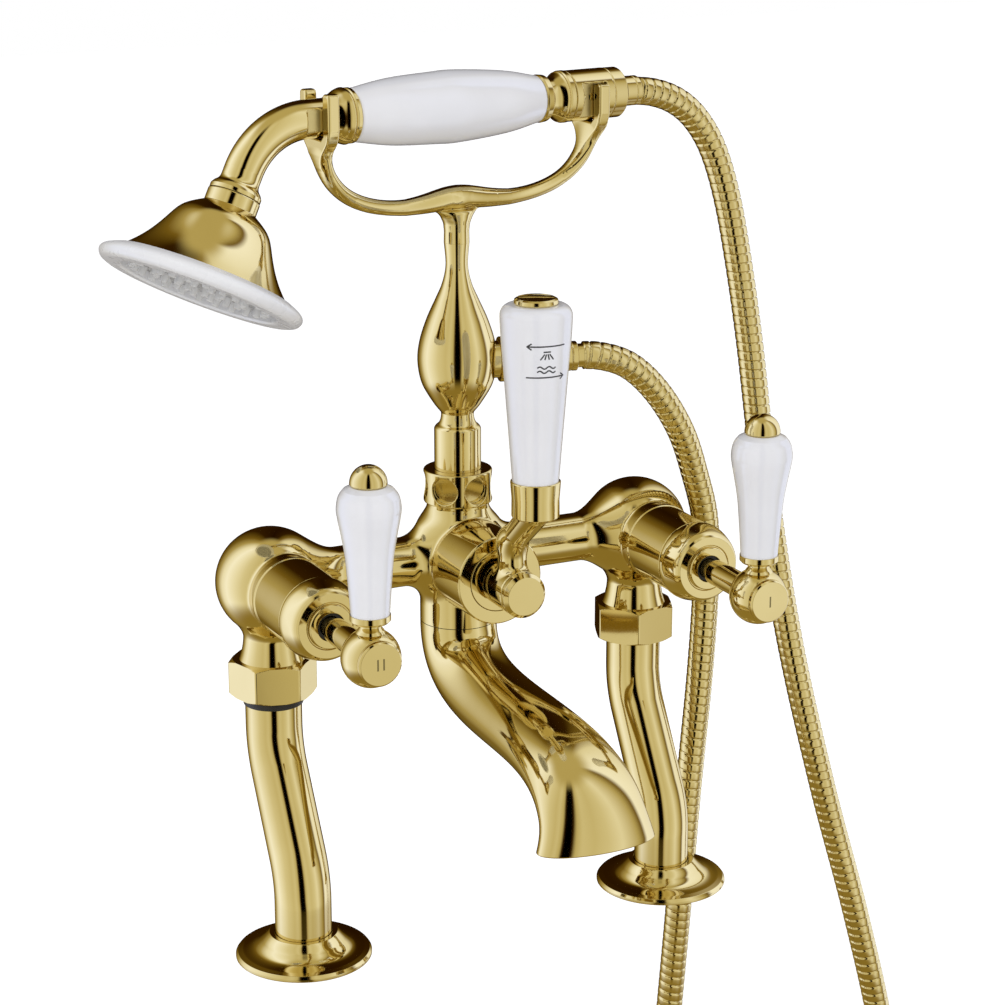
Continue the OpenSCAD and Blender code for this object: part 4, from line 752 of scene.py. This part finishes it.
# Thin marks laid on a surface, from strokes in millimetres across and up
def mark(name, strokes, width, lay, material, body):
    verts, faces = [], []
    for stroke in strokes:
        p = asarray(stroke, float)
        long = lengths(p)[-1]
        p = points_at(p, linspace(0, long, max(2, int(long / 0.35))))
        way = unit(np.gradient(p, axis=0))
        off = column_stack([-way[:, 1], way[:, 0]]) * width / 2
        first = len(verts)
        for a, b in zip(p + off, p - off):
            verts += [lay(*a), lay(*b)]
        faces += [[first + 2 * i + k for k in (0, 1, 3, 2)] for i in range(len(p) - 1)]
    finish_piece(new_object(name, verts, faces, material), None, body)


for valve, side, lines in (("hot", -1, (-1.3, 1.3)), ("cold", 1, (0,))):
    (origin, axes), face = add_valve(valve, side)
    mark(valve + "_cap_mark", [[(x, -2.4), (x, 2.4)] for x in lines], 0.7,
         lambda u, v: origin + axes @ (u, v, face + 0.03), ENGRAVED, valve + "_lever")


# Diverter: hub and cranked arm as one casting, then its ferrule, handle and button
def crank_field(p):
    q = p - (0, BAR_Y, BAR_Z)
    hub = drum(hypot(q[:, 0], q[:, 2]), -q[:, 1], 10, 46, 64, 0.8)
    arm = rod(q, (0, -55, 0), (0, -55, 21.3), 7.2, 5.6)
    fore = rod(q, (0, -55, 21.3), (0, -77, 40), 5.7, 6.6)
    return melt(hub, melt(arm, fore, 5), 2.2)


def add_diverter():
    body, axis, top = "diverter_lever", forward(0), upright(0, 77)
    cast("diverter_crank", crank_field, (-14, -57, 150), (14, -12, 214), 0.55, "diverter_arm", body)
    r, low, high, seat_r = 10.7, 38.0, 16.0, 9.85
    collar = [(r - 1.2, low), (r - 0.5, low + 0.7), (r - 0.6, low + high * 0.5), (r, low + high - 0.4),
              (r - 0.4, low + high), (seat_r, low + high), (seat_r, low + high - 1.4)]
    turned("diverter_ferrule", lathe(collar, top, 96, edge=0.3), None, body)
    turned("diverter_stem", lathe([(5, 26.3), (5, 58)], axis, 72), "diverter_spindle", body, INNER_GOLD)
    turned("diverter_end_cap", lathe([(9.2, 64), (10, 64.8), (10, 66.9), (8.4, 68.5)], axis, 96, edge=0.4),
           "diverter_cap", body)
    base, tall, foot, wide, corner, button, rod_r = 52.4, 77.0, 9.8, 15.1, 4.6, 9.3, 2.7
    crown = base + tall
    grip = [(rod_r, base), (foot - 0.6, base), (foot, base + 0.8)]
    grip += smooth([(foot + 0.02, base + 1), (foot + 1.6, base + tall * 0.28), (wide - 2, base + tall * 0.56),
                    (wide - 0.5, base + tall * 0.8), (wide, crown - corner - 2)], 12)
    grip += arc((wide - corner, crown - corner), corner, 0, 80, 20) + [(button, crown), (rod_r, crown)]
    turned("diverter_ceramic", lathe(grip, top, 128, True, 0.3), "diverter_handle", body, CERAMIC)
    rise, dish = crown + 2.6, 0.7
    knob = [(2.5, base - 6), (2.5, crown), (button - 0.3, crown), (button, crown + 0.6),
            (button - 0.2, rise - 0.6)]
    knob += smooth([(button - 1.2, rise), (button - 2.6, rise - dish * 0.6), (button * 0.4, rise - dish),
                    (0, rise - dish - 0.1)], 8)
    turned("diverter_knob", lathe(knob, top, 96, edge=0.3), "diverter_button", body)
    radii, heights = zip(*sorted([q for q in grip if q[0] > foot - 0.1], key=lambda q: q[1]))

    def lay(u, v):
        r = interp(v, heights, radii) + 0.05
        a = radians(-98) + u / r
        return top[0] + array([r * cos(a), r * sin(a), v])

    mid, half, gap, barb = crown - 21.5, 8.6, 6.6, 1.3
    signs = [[(-half, mid + gap), (half, mid + gap)], [(-half, mid - gap), (half, mid - gap)]]
    for way in (1, -1):
        tip, level = -way * half, mid + way * gap
        signs.append([(tip + way * 2, level + barb), (tip, level), (tip + way * 2, level - barb)])
    for dz in (0, -1.8):
        signs.append([(x, mid - 2.4 + dz + 0.5 * sin(x * 1.6)) for x in linspace(-4, 4, 40)])
    signs += [[(i * 0.7, mid + 3.4), (i * 1.9, mid + 1.0)] for i in (-1.5, -0.5, 0.5, 1.5)]
    signs.append([(-1.6, mid + 4.3), (1.6, mid + 4.3)])
    mark("diverter_marks", signs, 0.6, lay, INK, body)


add_diverter()


# Column: locking collar, riser with its pear shaped bulb and the hose outlet
def collar_field(p):
    x, y, z = p[:, 0], p[:, 1] - BAR_Y, p[:, 2] - NECK_TOP_Z
    q = hypot(x, y)
    ring = maximum(drum(q, z, 15.3, 0, 15.2, 0.9), 10.6 - q)
    turn, sixth = np.radians(40.7), pi / 3
    a = np.mod(np.arctan2(y, x) - turn + sixth / 2, sixth) - sixth / 2
    hole = maximum(hypot(q * np.sin(a), z - 7.6) - 5.9, 12.3 - q * np.cos(a))
    return carve(ring, hole, 0.45)


def sleeve(wall, mouth):
    return [(4, wall - 1), (6.6, wall - 1), (6.6, mouth - 3), (6.2, mouth - 2.6), (6.6, mouth - 2.2),
            (6.6, mouth - 0.3), (6.3, mouth), (5.85, mouth), (5.85, wall), (4, wall)]


def add_column():
    cast("spanner_collar", collar_field, (-16.5, BAR_Y - 16.5, NECK_TOP_Z - 1),
         (16.5, BAR_Y + 16.5, NECK_TOP_Z + 16.5), 0.4, "locking_collar")
    groove, bulb, low = 7.28, 17.5, SLEEVE_TOP_Z
    pear = [(7.95, 173), (7.95, 189), (12.2, 189), (12.2, 192), (10.4, 192), (10.4, low - 1.4)]
    pear += smooth([(10.2, low - 0.8), (9.6, low), (8.4, low + 1.1), (groove + 0.3, low + 2.8),
                    (groove, low + 4.6)], 10)
    pear += [(groove, low + 6)]
    pear += smooth([(groove + 0.4, low + 6.6), (bulb * 0.63, low + 11), (bulb * 0.9, low + 19.5),
                    (bulb, low + 29), (bulb * 0.95, low + 38), (bulb * 0.77, low + 48),
                    (bulb * 0.54, low + 57), (bulb * 0.37, low + 64), (4.9, low + 72), (5.6, SEAM_Z)], 14)
    boss = [(8.2, 12), (8.2, 23.5), (4, 23.5)]
    turned("pear_riser", join([lathe(pear, COLUMN, 128), lathe(boss, OUTLET, 72)]), "riser")
    nut = [(8.4, 18.5), (10, 18.5), (10, 32.5), (7.2, 36.5), (5.85, 36.5), (5.85, 27.5), (8.4, 27.5)]
    turned("outlet_coupling", lathe(nut, OUTLET, 96, True, 0.5), "outlet_nut")
    turned("outlet_sleeve", lathe(sleeve(37.5, 53.5), OUTLET, 72, True, 0.2), "outlet_ferrule")


add_column()

# Cradle: stem, two swept arms and two pronged hooks as one casting
ARM_Z = SEAM_Z + 19
STEM = array([(5.6, SEAM_Z - 4), (5.6, SEAM_Z), (5.5, SEAM_Z + 5)]
                + smooth([(5.8, SEAM_Z + 8), (6.2, SEAM_Z + 11), (5.2, SEAM_Z + 14), (0, SEAM_Z + 15)]))


def arm_line(hook):
    p = array([(0, ARM_Z), (hook * 0.54, ARM_Z - 5), (hook * 0.94, ARM_Z + 1), (hook, ARM_Z + 25)])
    return bezier(p, linspace(0, 1, 40)[:, None])


def hook_outline(seat_r, rise):
    seat, tip, wide, round_r = HANDSET_Z - seat_r - 0.3, HANDSET_Z + rise, 12.7, 1.6
    foot = seat - 13
    right = smooth([(2.6, foot), (4.2, foot + 4), (7.4, foot + 8), (10.9, foot + 12), (wide, foot + 17.5)], 6)
    right += arc((wide - round_r, tip - round_r), round_r, 0, 90, 6)
    right += arc((8.8, tip - round_r), round_r, 90, 180, 6)
    right += [(7.2, seat + 2), (5.2, seat)]
    return array(right + [(-y, z) for y, z in right[::-1]])


HOOKS = [(-66.0, hook_outline(NECK_R, 11.0), arm_line(-66.0)),
         (68.5, hook_outline(SOCKET_R, 5.6), arm_line(68.5))]


def both_arms():
    """The line from hook to hook, eased over the stem, and the number of its points on each side."""
    (_, _, first), (_, _, second) = HOOKS
    line, half = vstack([first[::-1], second[1:]]), len(first) - 1
    for _ in range(24):
        line[half - 9:half + 10] = (line[half - 10:half + 9] + line[half - 8:half + 11]) / 2
    line[:, 1] += 1.8 * np.exp(-(line[:, 0] / 13) ** 2)
    return line, half


def arm_field(x, y, z):
    line, half = both_arms()
    best, place = np.full(len(x), 1e9), zeros(len(x))
    for i, (a, b) in enumerate(zip(line[:-1], line[1:])):
        t, d = from_segment(x, z, a, b)
        closer = d < best
        best = np.where(closer, d, best)
        place = np.where(closer, abs(i + t - half) / half, place)
    swell = np.exp(-(place / 0.2) ** 2)
    thick = 1.9 * swell + interp(place, [0, 0.8, 1], [3.2, 3.2, 2.8])
    wide = 2.4 * swell + interp(place, [0, 0.3, 0.6, 0.85, 1], [3.2, 3.2, 3.5, 5.4, 7.2])
    return (hypot(best / thick, y / wide) - 1) * minimum(thick, wide)


def hook_field(outline, line, x, y, z):
    best, inside = np.full(len(x), 1e9), zeros(len(x), bool)
    for a, b in zip(outline, np.roll(outline, -1, axis=0)):
        best = minimum(best, from_segment(y, z, a, b)[1])
        if a[1] != b[1]:
            inside ^= ((a[1] > z) != (b[1] > z)) & (y < a[0] + (b[0] - a[0]) * (z - a[1]) / (b[1] - a[1]))
    rising = line[20:]
    middle = interp(z, rising[:, 1], rising[:, 0])
    foot = outline[:, 1].min()
    half = interp(z, [foot, foot + 9], [2.2, 2.8])
    return overlap(np.where(inside, -1, 1) * best, abs(x - middle) - half, 1.0)


def fork_field(p):
    d = p - (0, BAR_Y, 0)
    x, y, z = d @ ALONG, d @ ACROSS, d[:, 2]
    r = interp(z, STEM[:, 1], STEM[:, 0])
    stem = maximum(hypot(x, y) - r, z - SEAM_Z - 15)
    hooks = np.full(len(x), 50.0)
    for at, outline, line in HOOKS:
        near = abs(x - at) < 12
        hooks[near] = hook_field(outline, line, x[near], y[near], z[near])
    return melt(melt(stem, arm_field(x, y, z), 7), hooks, 1.6)


cast("cradle_arms", fork_field, (-74, BAR_Y - 22, SEAM_Z - 3), (76, BAR_Y + 22, 378), 0.6, "cradle_fork",
     cuts=[((0, 0, SEAM_Z), (0, 0, -1))])


# Handset: neck, ceramic grip, hose socket and spray head
def notched(f, d, notch, top):
    """A handset piece with flats milled on both sides, where a hook's prongs stand."""
    x = d @ ALONG
    length = maximum(notch[0] - x, x - notch[1])
    return carve(f, maximum(length, maximum(FLAT - abs(d @ ACROSS), d[:, 2] - top)), 0.4)


def on_flats(p):
    """True on the milled flats of the handset."""
    d = p - HANDSET[0]
    x, across = d @ ALONG, abs(d @ ACROSS)
    near = zeros(len(x), bool)
    for start, end in (NECK_NOTCH, SOCKET_NOTCH):
        near |= (x > start + 0.2) & (x < end - 0.2)
    return near & (across < FLAT + 0.35) & (across > FLAT - 0.4)


def neck_field(p):
    d = p - HANDSET[0]
    x, down, out = d @ ALONG - BEND_START, d @ NECK_DOWN, d @ np.cross(ALONG, NECK_DOWN)
    off = np.where(x > 0, down, hypot(x, down - NECK_BEND) - NECK_BEND)
    return notched(hypot(off, out) - NECK_R, d, NECK_NOTCH, 50)


def socket_field(p):
    d = p - HANDSET[0]
    across = hypot(d @ ACROSS, d[:, 2])
    barrel = drum(across, d @ ALONG, SOCKET_R, SOCKET_BEAD + 3.2, SOCKET_LIP, 0.5)
    return notched(maximum(barrel, 6.7 - across), d, SOCKET_NOTCH, 6.1)


def add_handset():
    body, r = "handset", NECK_R
    cast("neck_tube", neck_field, (-114, 2, 331), (-46, 46, 377), 0.5, "handset_neck", body,
         [(HANDSET[0] - 52.5 * ALONG, ALONG), (HEAD[0], HEAD_WAY)], on_flats)
    bead = [(r - 0.3, -1), (r, 0)]
    bead += smooth([(r, 3.4), (r + 0.15, 4.6), (r + 0.7, 5.8), (10.1, 7.1), (11.0, 8.6)], 8)
    turned("neck_bead", lathe(bead + [(11.0, 10.3), (5, 10.3)], HEAD, 96, edge=0.3), None, body)
    back, wide, start, inner = -62.5, 12.0, -51.5, r + 0.02
    front = [(inner, back), (r + 0.8, back)]
    front += smooth([(r + 0.9, back + 0.8), (r + 1.8, back + 2.6), (wide - 0.7, back + 4.8), (wide, back + 7),
                     (wide - 0.5, start - 3.2)], 12)
    front += [(wide - 0.9, start - 2.6), (wide - 0.3, start - 2), (wide - 0.3, start - 0.6),
              (wide - 0.8, start), (inner, start)]
    turned("grip_front_ring", lathe(front, HANDSET, 96, True, 0.3), "front_ferrule", body)
    long, head, full, tail, end, bore = 92.0, 11.3, 15.5, 10.3, 40.5, 5.2
    grip = [(bore, start), (head - 0.6, start)]
    grip += smooth([(head, start + 0.8), (head + (full - head) * 0.68, start + long * 0.2),
                    (full - 0.2, start + long * 0.42), (full, start + long * 0.56),
                    (tail + (full - tail) * 0.6, start + long * 0.82), (tail, end - 0.8)], 16)
    grip += [(tail - 0.6, end), (bore, end)]
    turned("ceramic_grip", lathe(grip, HANDSET, 128, True, 0.4), "handset_grip", body, CERAMIC)
    w, a, bead, last, core, bore = SOCKET_R, 43.9, SOCKET_BEAD, SOCKET_LIP, 6.8, 6.62
    ring = [(5.02, end), (tail - 0.4, end), (tail + 0.2, end + 0.8), (tail - 0.1, a), (5.02, a)]
    turned("grip_back_ring", lathe(ring, HANDSET, 96, True, 0.3), "grip_end_ring", body)
    socket = [(6, a), (w - 2.6, a), (w - 2.2, a + 0.6)]
    socket += smooth([(w - 2.8, a + 1.4), (w - 2.4, a + 4), (w - 1, a + 6.6), (w - 0.2, bead - 0.6)], 10)
    socket += [(w - 0.4, bead), (w + 0.2, bead + 0.6), (w + 0.2, bead + 2.6), (w - 0.4, bead + 3.2),
               (core, bead + 3.2), (core, last), (w - 0.5, last), (w - 0.1, last + 0.4), (w - 0.1, 81.6),
               (w - 0.8, 82.4), (bore, 82.4), (bore, 72), (6, 72)]
    turned("socket_sleeve", lathe(socket, HANDSET, 128, True, 0.2), "hose_socket", body)
    cast("socket_barrel", socket_field, (50, 22, 352), (80, 52, 378), 0.5, None, body,
         milled=lambda p: on_flats(p) & (p[:, 2] < HANDSET_Z + 6))
    turned("hose_crimp", lathe(sleeve(75.4, 92.9), HANDSET, 72, True, 0.2), "hose_ferrule", body)


add_handset()


def add_head():
    body, slim, mouth, low, high, wall = "handset", 11.2, 35.7, 16.0, 29.5, 1.6
    wide = mouth - slim

    def bell(inset):
        line = [(0, 0), (0.2, 0.1), (0.34, 0.19), (0.43, 0.34), (0.54, 0.52), (0.68, 0.71), (0.84, 0.87),
                (1, 1)]
        line = [(slim + wide * u - inset, low + high * v + inset * max(0, 1 - 3 * v)) for u, v in line]
        return [tuple(q) for q in ease(spline(line, 12), 130)]

    outline = [(5, 10.5), (slim - 0.3, 10.5), (slim, 11)] + bell(0) + bell(wall)[::-1] + [(5, low + wall)]
    turned("bell_shell", lathe(outline, HEAD, 144, True, 0.35), "head_bell", body)
    end, rim, rim_h, face, plate_r, seat, top = low + high, 44.0, 8.0, 34.0, 35.6, 46.9, 48.9
    white = [(31.7, end), (mouth + 0.4, end)]
    white += smooth([(mouth + 2.6, end + 0.2), (rim - 1.4, end + rim_h * 0.28), (rim, end + rim_h * 0.55),
                     (rim - 1.2, end + rim_h * 0.86), (rim - 3.6, end + rim_h)], 12)
    white += [(face + 0.8, end + rim_h), (face, end + rim_h - 0.8), (face, top), (plate_r + 0.05, top),
              (plate_r + 0.05, seat), (31.7, seat)]
    turned("rim_ring", lathe(white, HEAD, 144, True, 0.4), "head_rim", body, PLASTIC)
    plate = [(plate_r, seat), (plate_r, top)]
    for r in (32.9, 5.2):
        plate += [(r, top), (r - 0.2, top - 0.2), (r - 0.5, top - 0.2), (r - 0.7, top)]
    # The spray plate's darker grey colour holds painted shade of its recess.
    turned("spray_disc", lathe(plate, HEAD, 144, edge=0.1), "spray_plate", body, PLATE_WITH_PAINTED_SHADE)
    tip = [(1.9, top), (1.9, 50), (1.6, 52.1), (1.4, 52.7), (0.6, 52.7), (0.55, 51.9)]
    tips, outer_r = [], 29.0
    for third in (1, 2, 3):
        for a in around(8 * third):
            out = outer_r * third / 3 * (cos(a) * HEAD[1][:, 0] + sin(a) * HEAD[1][:, 1])
            tips.append(lathe(tip, (HEAD[0] + out, HEAD[1]), 20, edge=0.2))
    turned("soft_tips", join(tips), "spray_nozzles", body, SILICONE)


add_head()

# The inside pieces keep their solids, with their own finishes
for node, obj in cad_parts.items():
    if "cartridge" in node or node == "grip_rod":
        finish = INNER_GOLD
    elif "leg_washer" in node:
        finish = FIBRE
    elif "washer" in node:
        finish = RUBBER
    else:
        continue
    obj.data.materials.clear()
    obj.data.materials.append(finish)
    obj.data.shade_smooth()
    obj.data.set_sharp_from_angle(angle=radians(30))


# Stage: a pale floor, a white surround, and a studio wall that only polished things see
def seen_rays(tree):
    """One for the rays that see the white surround: camera, mirror and clear ones."""
    path = add_node(tree, "LightPath")
    seen = path["Is Camera Ray"]
    for kind in ("Is Glossy Ray", "Is Transmission Ray"):
        seen = add_node(tree, "Math", {0: seen, 1: path[kind]}, operation="ADD", use_clamp=True)[0]
    return seen


def add_surround():
    world = bpy.data.worlds.new("studio")
    scene.world = world
    world.use_nodes = True
    tree = world.node_tree
    tree.nodes.clear()
    soft = add_node(tree, "Background", {"Color": (0.965, 0.972, 1, 1), "Strength": 0.54})
    white = add_node(tree, "Background", {"Color": (1, 1, 1, 1), "Strength": 1.0})
    mix = add_node(tree, "MixShader", {0: seen_rays(tree), 1: soft[0], 2: white[0]})
    add_node(tree, "OutputWorld", {"Surface": mix[0]})


def add_floor():
    """A pale floor that keeps the shadow and fades into the white surround further away."""
    material, tree, place = new_material("floor_white")
    paint = add_node(tree, "BsdfPrincipled", {"Base Color": (0.85, 0.85, 0.85, 1), "Roughness": 0.9})
    reach = add_node(tree, "VectorMath", {0: place}, operation="LENGTH")["Value"]
    lift = between(tree, reach, 0.42, 0.62, 0.75, 1.15)
    shown = add_node(tree, "Math", {0: lift, 1: seen_rays(tree)}, operation="MULTIPLY")
    glow = add_node(tree, "Emission", {"Strength": shown[0]})
    show(tree, "AddShader", {0: paint[0], 1: glow[0]})
    half, low = 6000, -372
    corners = [(-half, -half, low), (half, -half, low), (half, half, low), (-half, half, low)]
    new_object("floor", corners, [[0, 1, 2, 3]], material)


# Light of the studio's wall at bearings from the camera, in degrees to the right
WALL = [(-180, 0.02), (-160, 0.04), (-143, 0.22), (-128, 0.55), (-112, 1.1), (-97, 1.28), (-75, 1.1),
        (-57, 0.92), (-34, 0.80), (-22, 0.86), (-12, 0.70), (-7, 0.05), (-4, 0.0), (7, 0.0), (10, 0.05),
        (15, 0.70), (23, 0.86), (36, 0.80), (49, 0.88), (63, 1.05), (84, 0.62), (95, 0.20), (103, 1.25),
        (128, 1.15), (146, 1.0), (158, 0.25), (168, 0.04), (180, 0.02)]
FLOOR_LIGHT, CEILING_LIGHT, BRIGHTEST = 0.34, 0.62, 1.9


def studio_tint(level):
    """Bright parts of the studio are cool and dim parts warm, as in a wooden room behind white screens."""
    return tuple(level ** power / BRIGHTEST for power in (1, 1.28, 2.5))


def add_studio():
    """A round wall with floor and ceiling that only polished surfaces see."""
    glow, tree, place = new_material("studio_wall")
    parts = add_node(tree, "SeparateXYZ", {0: place})
    bearing = add_node(tree, "Math", {0: parts["Y"], 1: parts["X"]}, operation="ARCTAN2")[0]
    span = between(tree, bearing, 0, 1, -pi, pi)
    wall = ramp(tree, span, [((a + 180) / 360, studio_tint(level)) for a, level in WALL])
    flat = add_node(tree, "VectorMath", {0: place, 1: (1, 1, 0)}, operation="MULTIPLY")["Vector"]
    reach = add_node(tree, "VectorMath", {0: flat}, operation="LENGTH")["Value"]
    away = between(tree, reach, 0, 1, 0.35, 1.1, interpolation_type="SMOOTHERSTEP")
    above = between(tree, parts["Z"], 0, 1, 0.3, 0.9)
    floor, ceiling = [(*studio_tint(level), 1) for level in (FLOOR_LIGHT, CEILING_LIGHT)]
    middle = add_node(tree, "MixRGB", {"Fac": above, "Color1": floor, "Color2": ceiling})[0]
    whole = add_node(tree, "MixRGB", {"Fac": away, "Color1": middle, "Color2": wall})[0]
    show(tree, "Emission", {"Color": whole, "Strength": BRIGHTEST})
    glow.cycles.emission_sampling = "NONE"
    outline = [(1700, -370.5), (1700, 1300), (1500, 1650), (1000, 1850)]
    verts, faces, _ = lathe(outline, frame_at((0, 0, 0)), 72, edge=1.0)
    shell = new_object("studio_shell", verts, faces, glow)
    shell.rotation_euler = (0, 0, radians(-116))
    shell.visible_camera = shell.visible_diffuse = shell.visible_shadow = shell.visible_transmission = False


def area(name, at, size, power):
    data = bpy.data.lights.new(name, "AREA")
    data.shape, data.size, data.energy = "SQUARE", size, power
    aimed(name, data, at, (0, 0, 0.18)).visible_glossy = False


add_surround()
add_floor()
add_studio()
area("key", (-1.1, -0.9, 1.3), 0.9, 9)
area("fill", (1.2, -0.7, 0.9), 1.0, 4.5)
area("low_fill", (-0.5, -1.0, -0.15), 0.7, 2.4)
area("back_fill", (0.5, 1.2, 0.8), 1.0, 3.5)
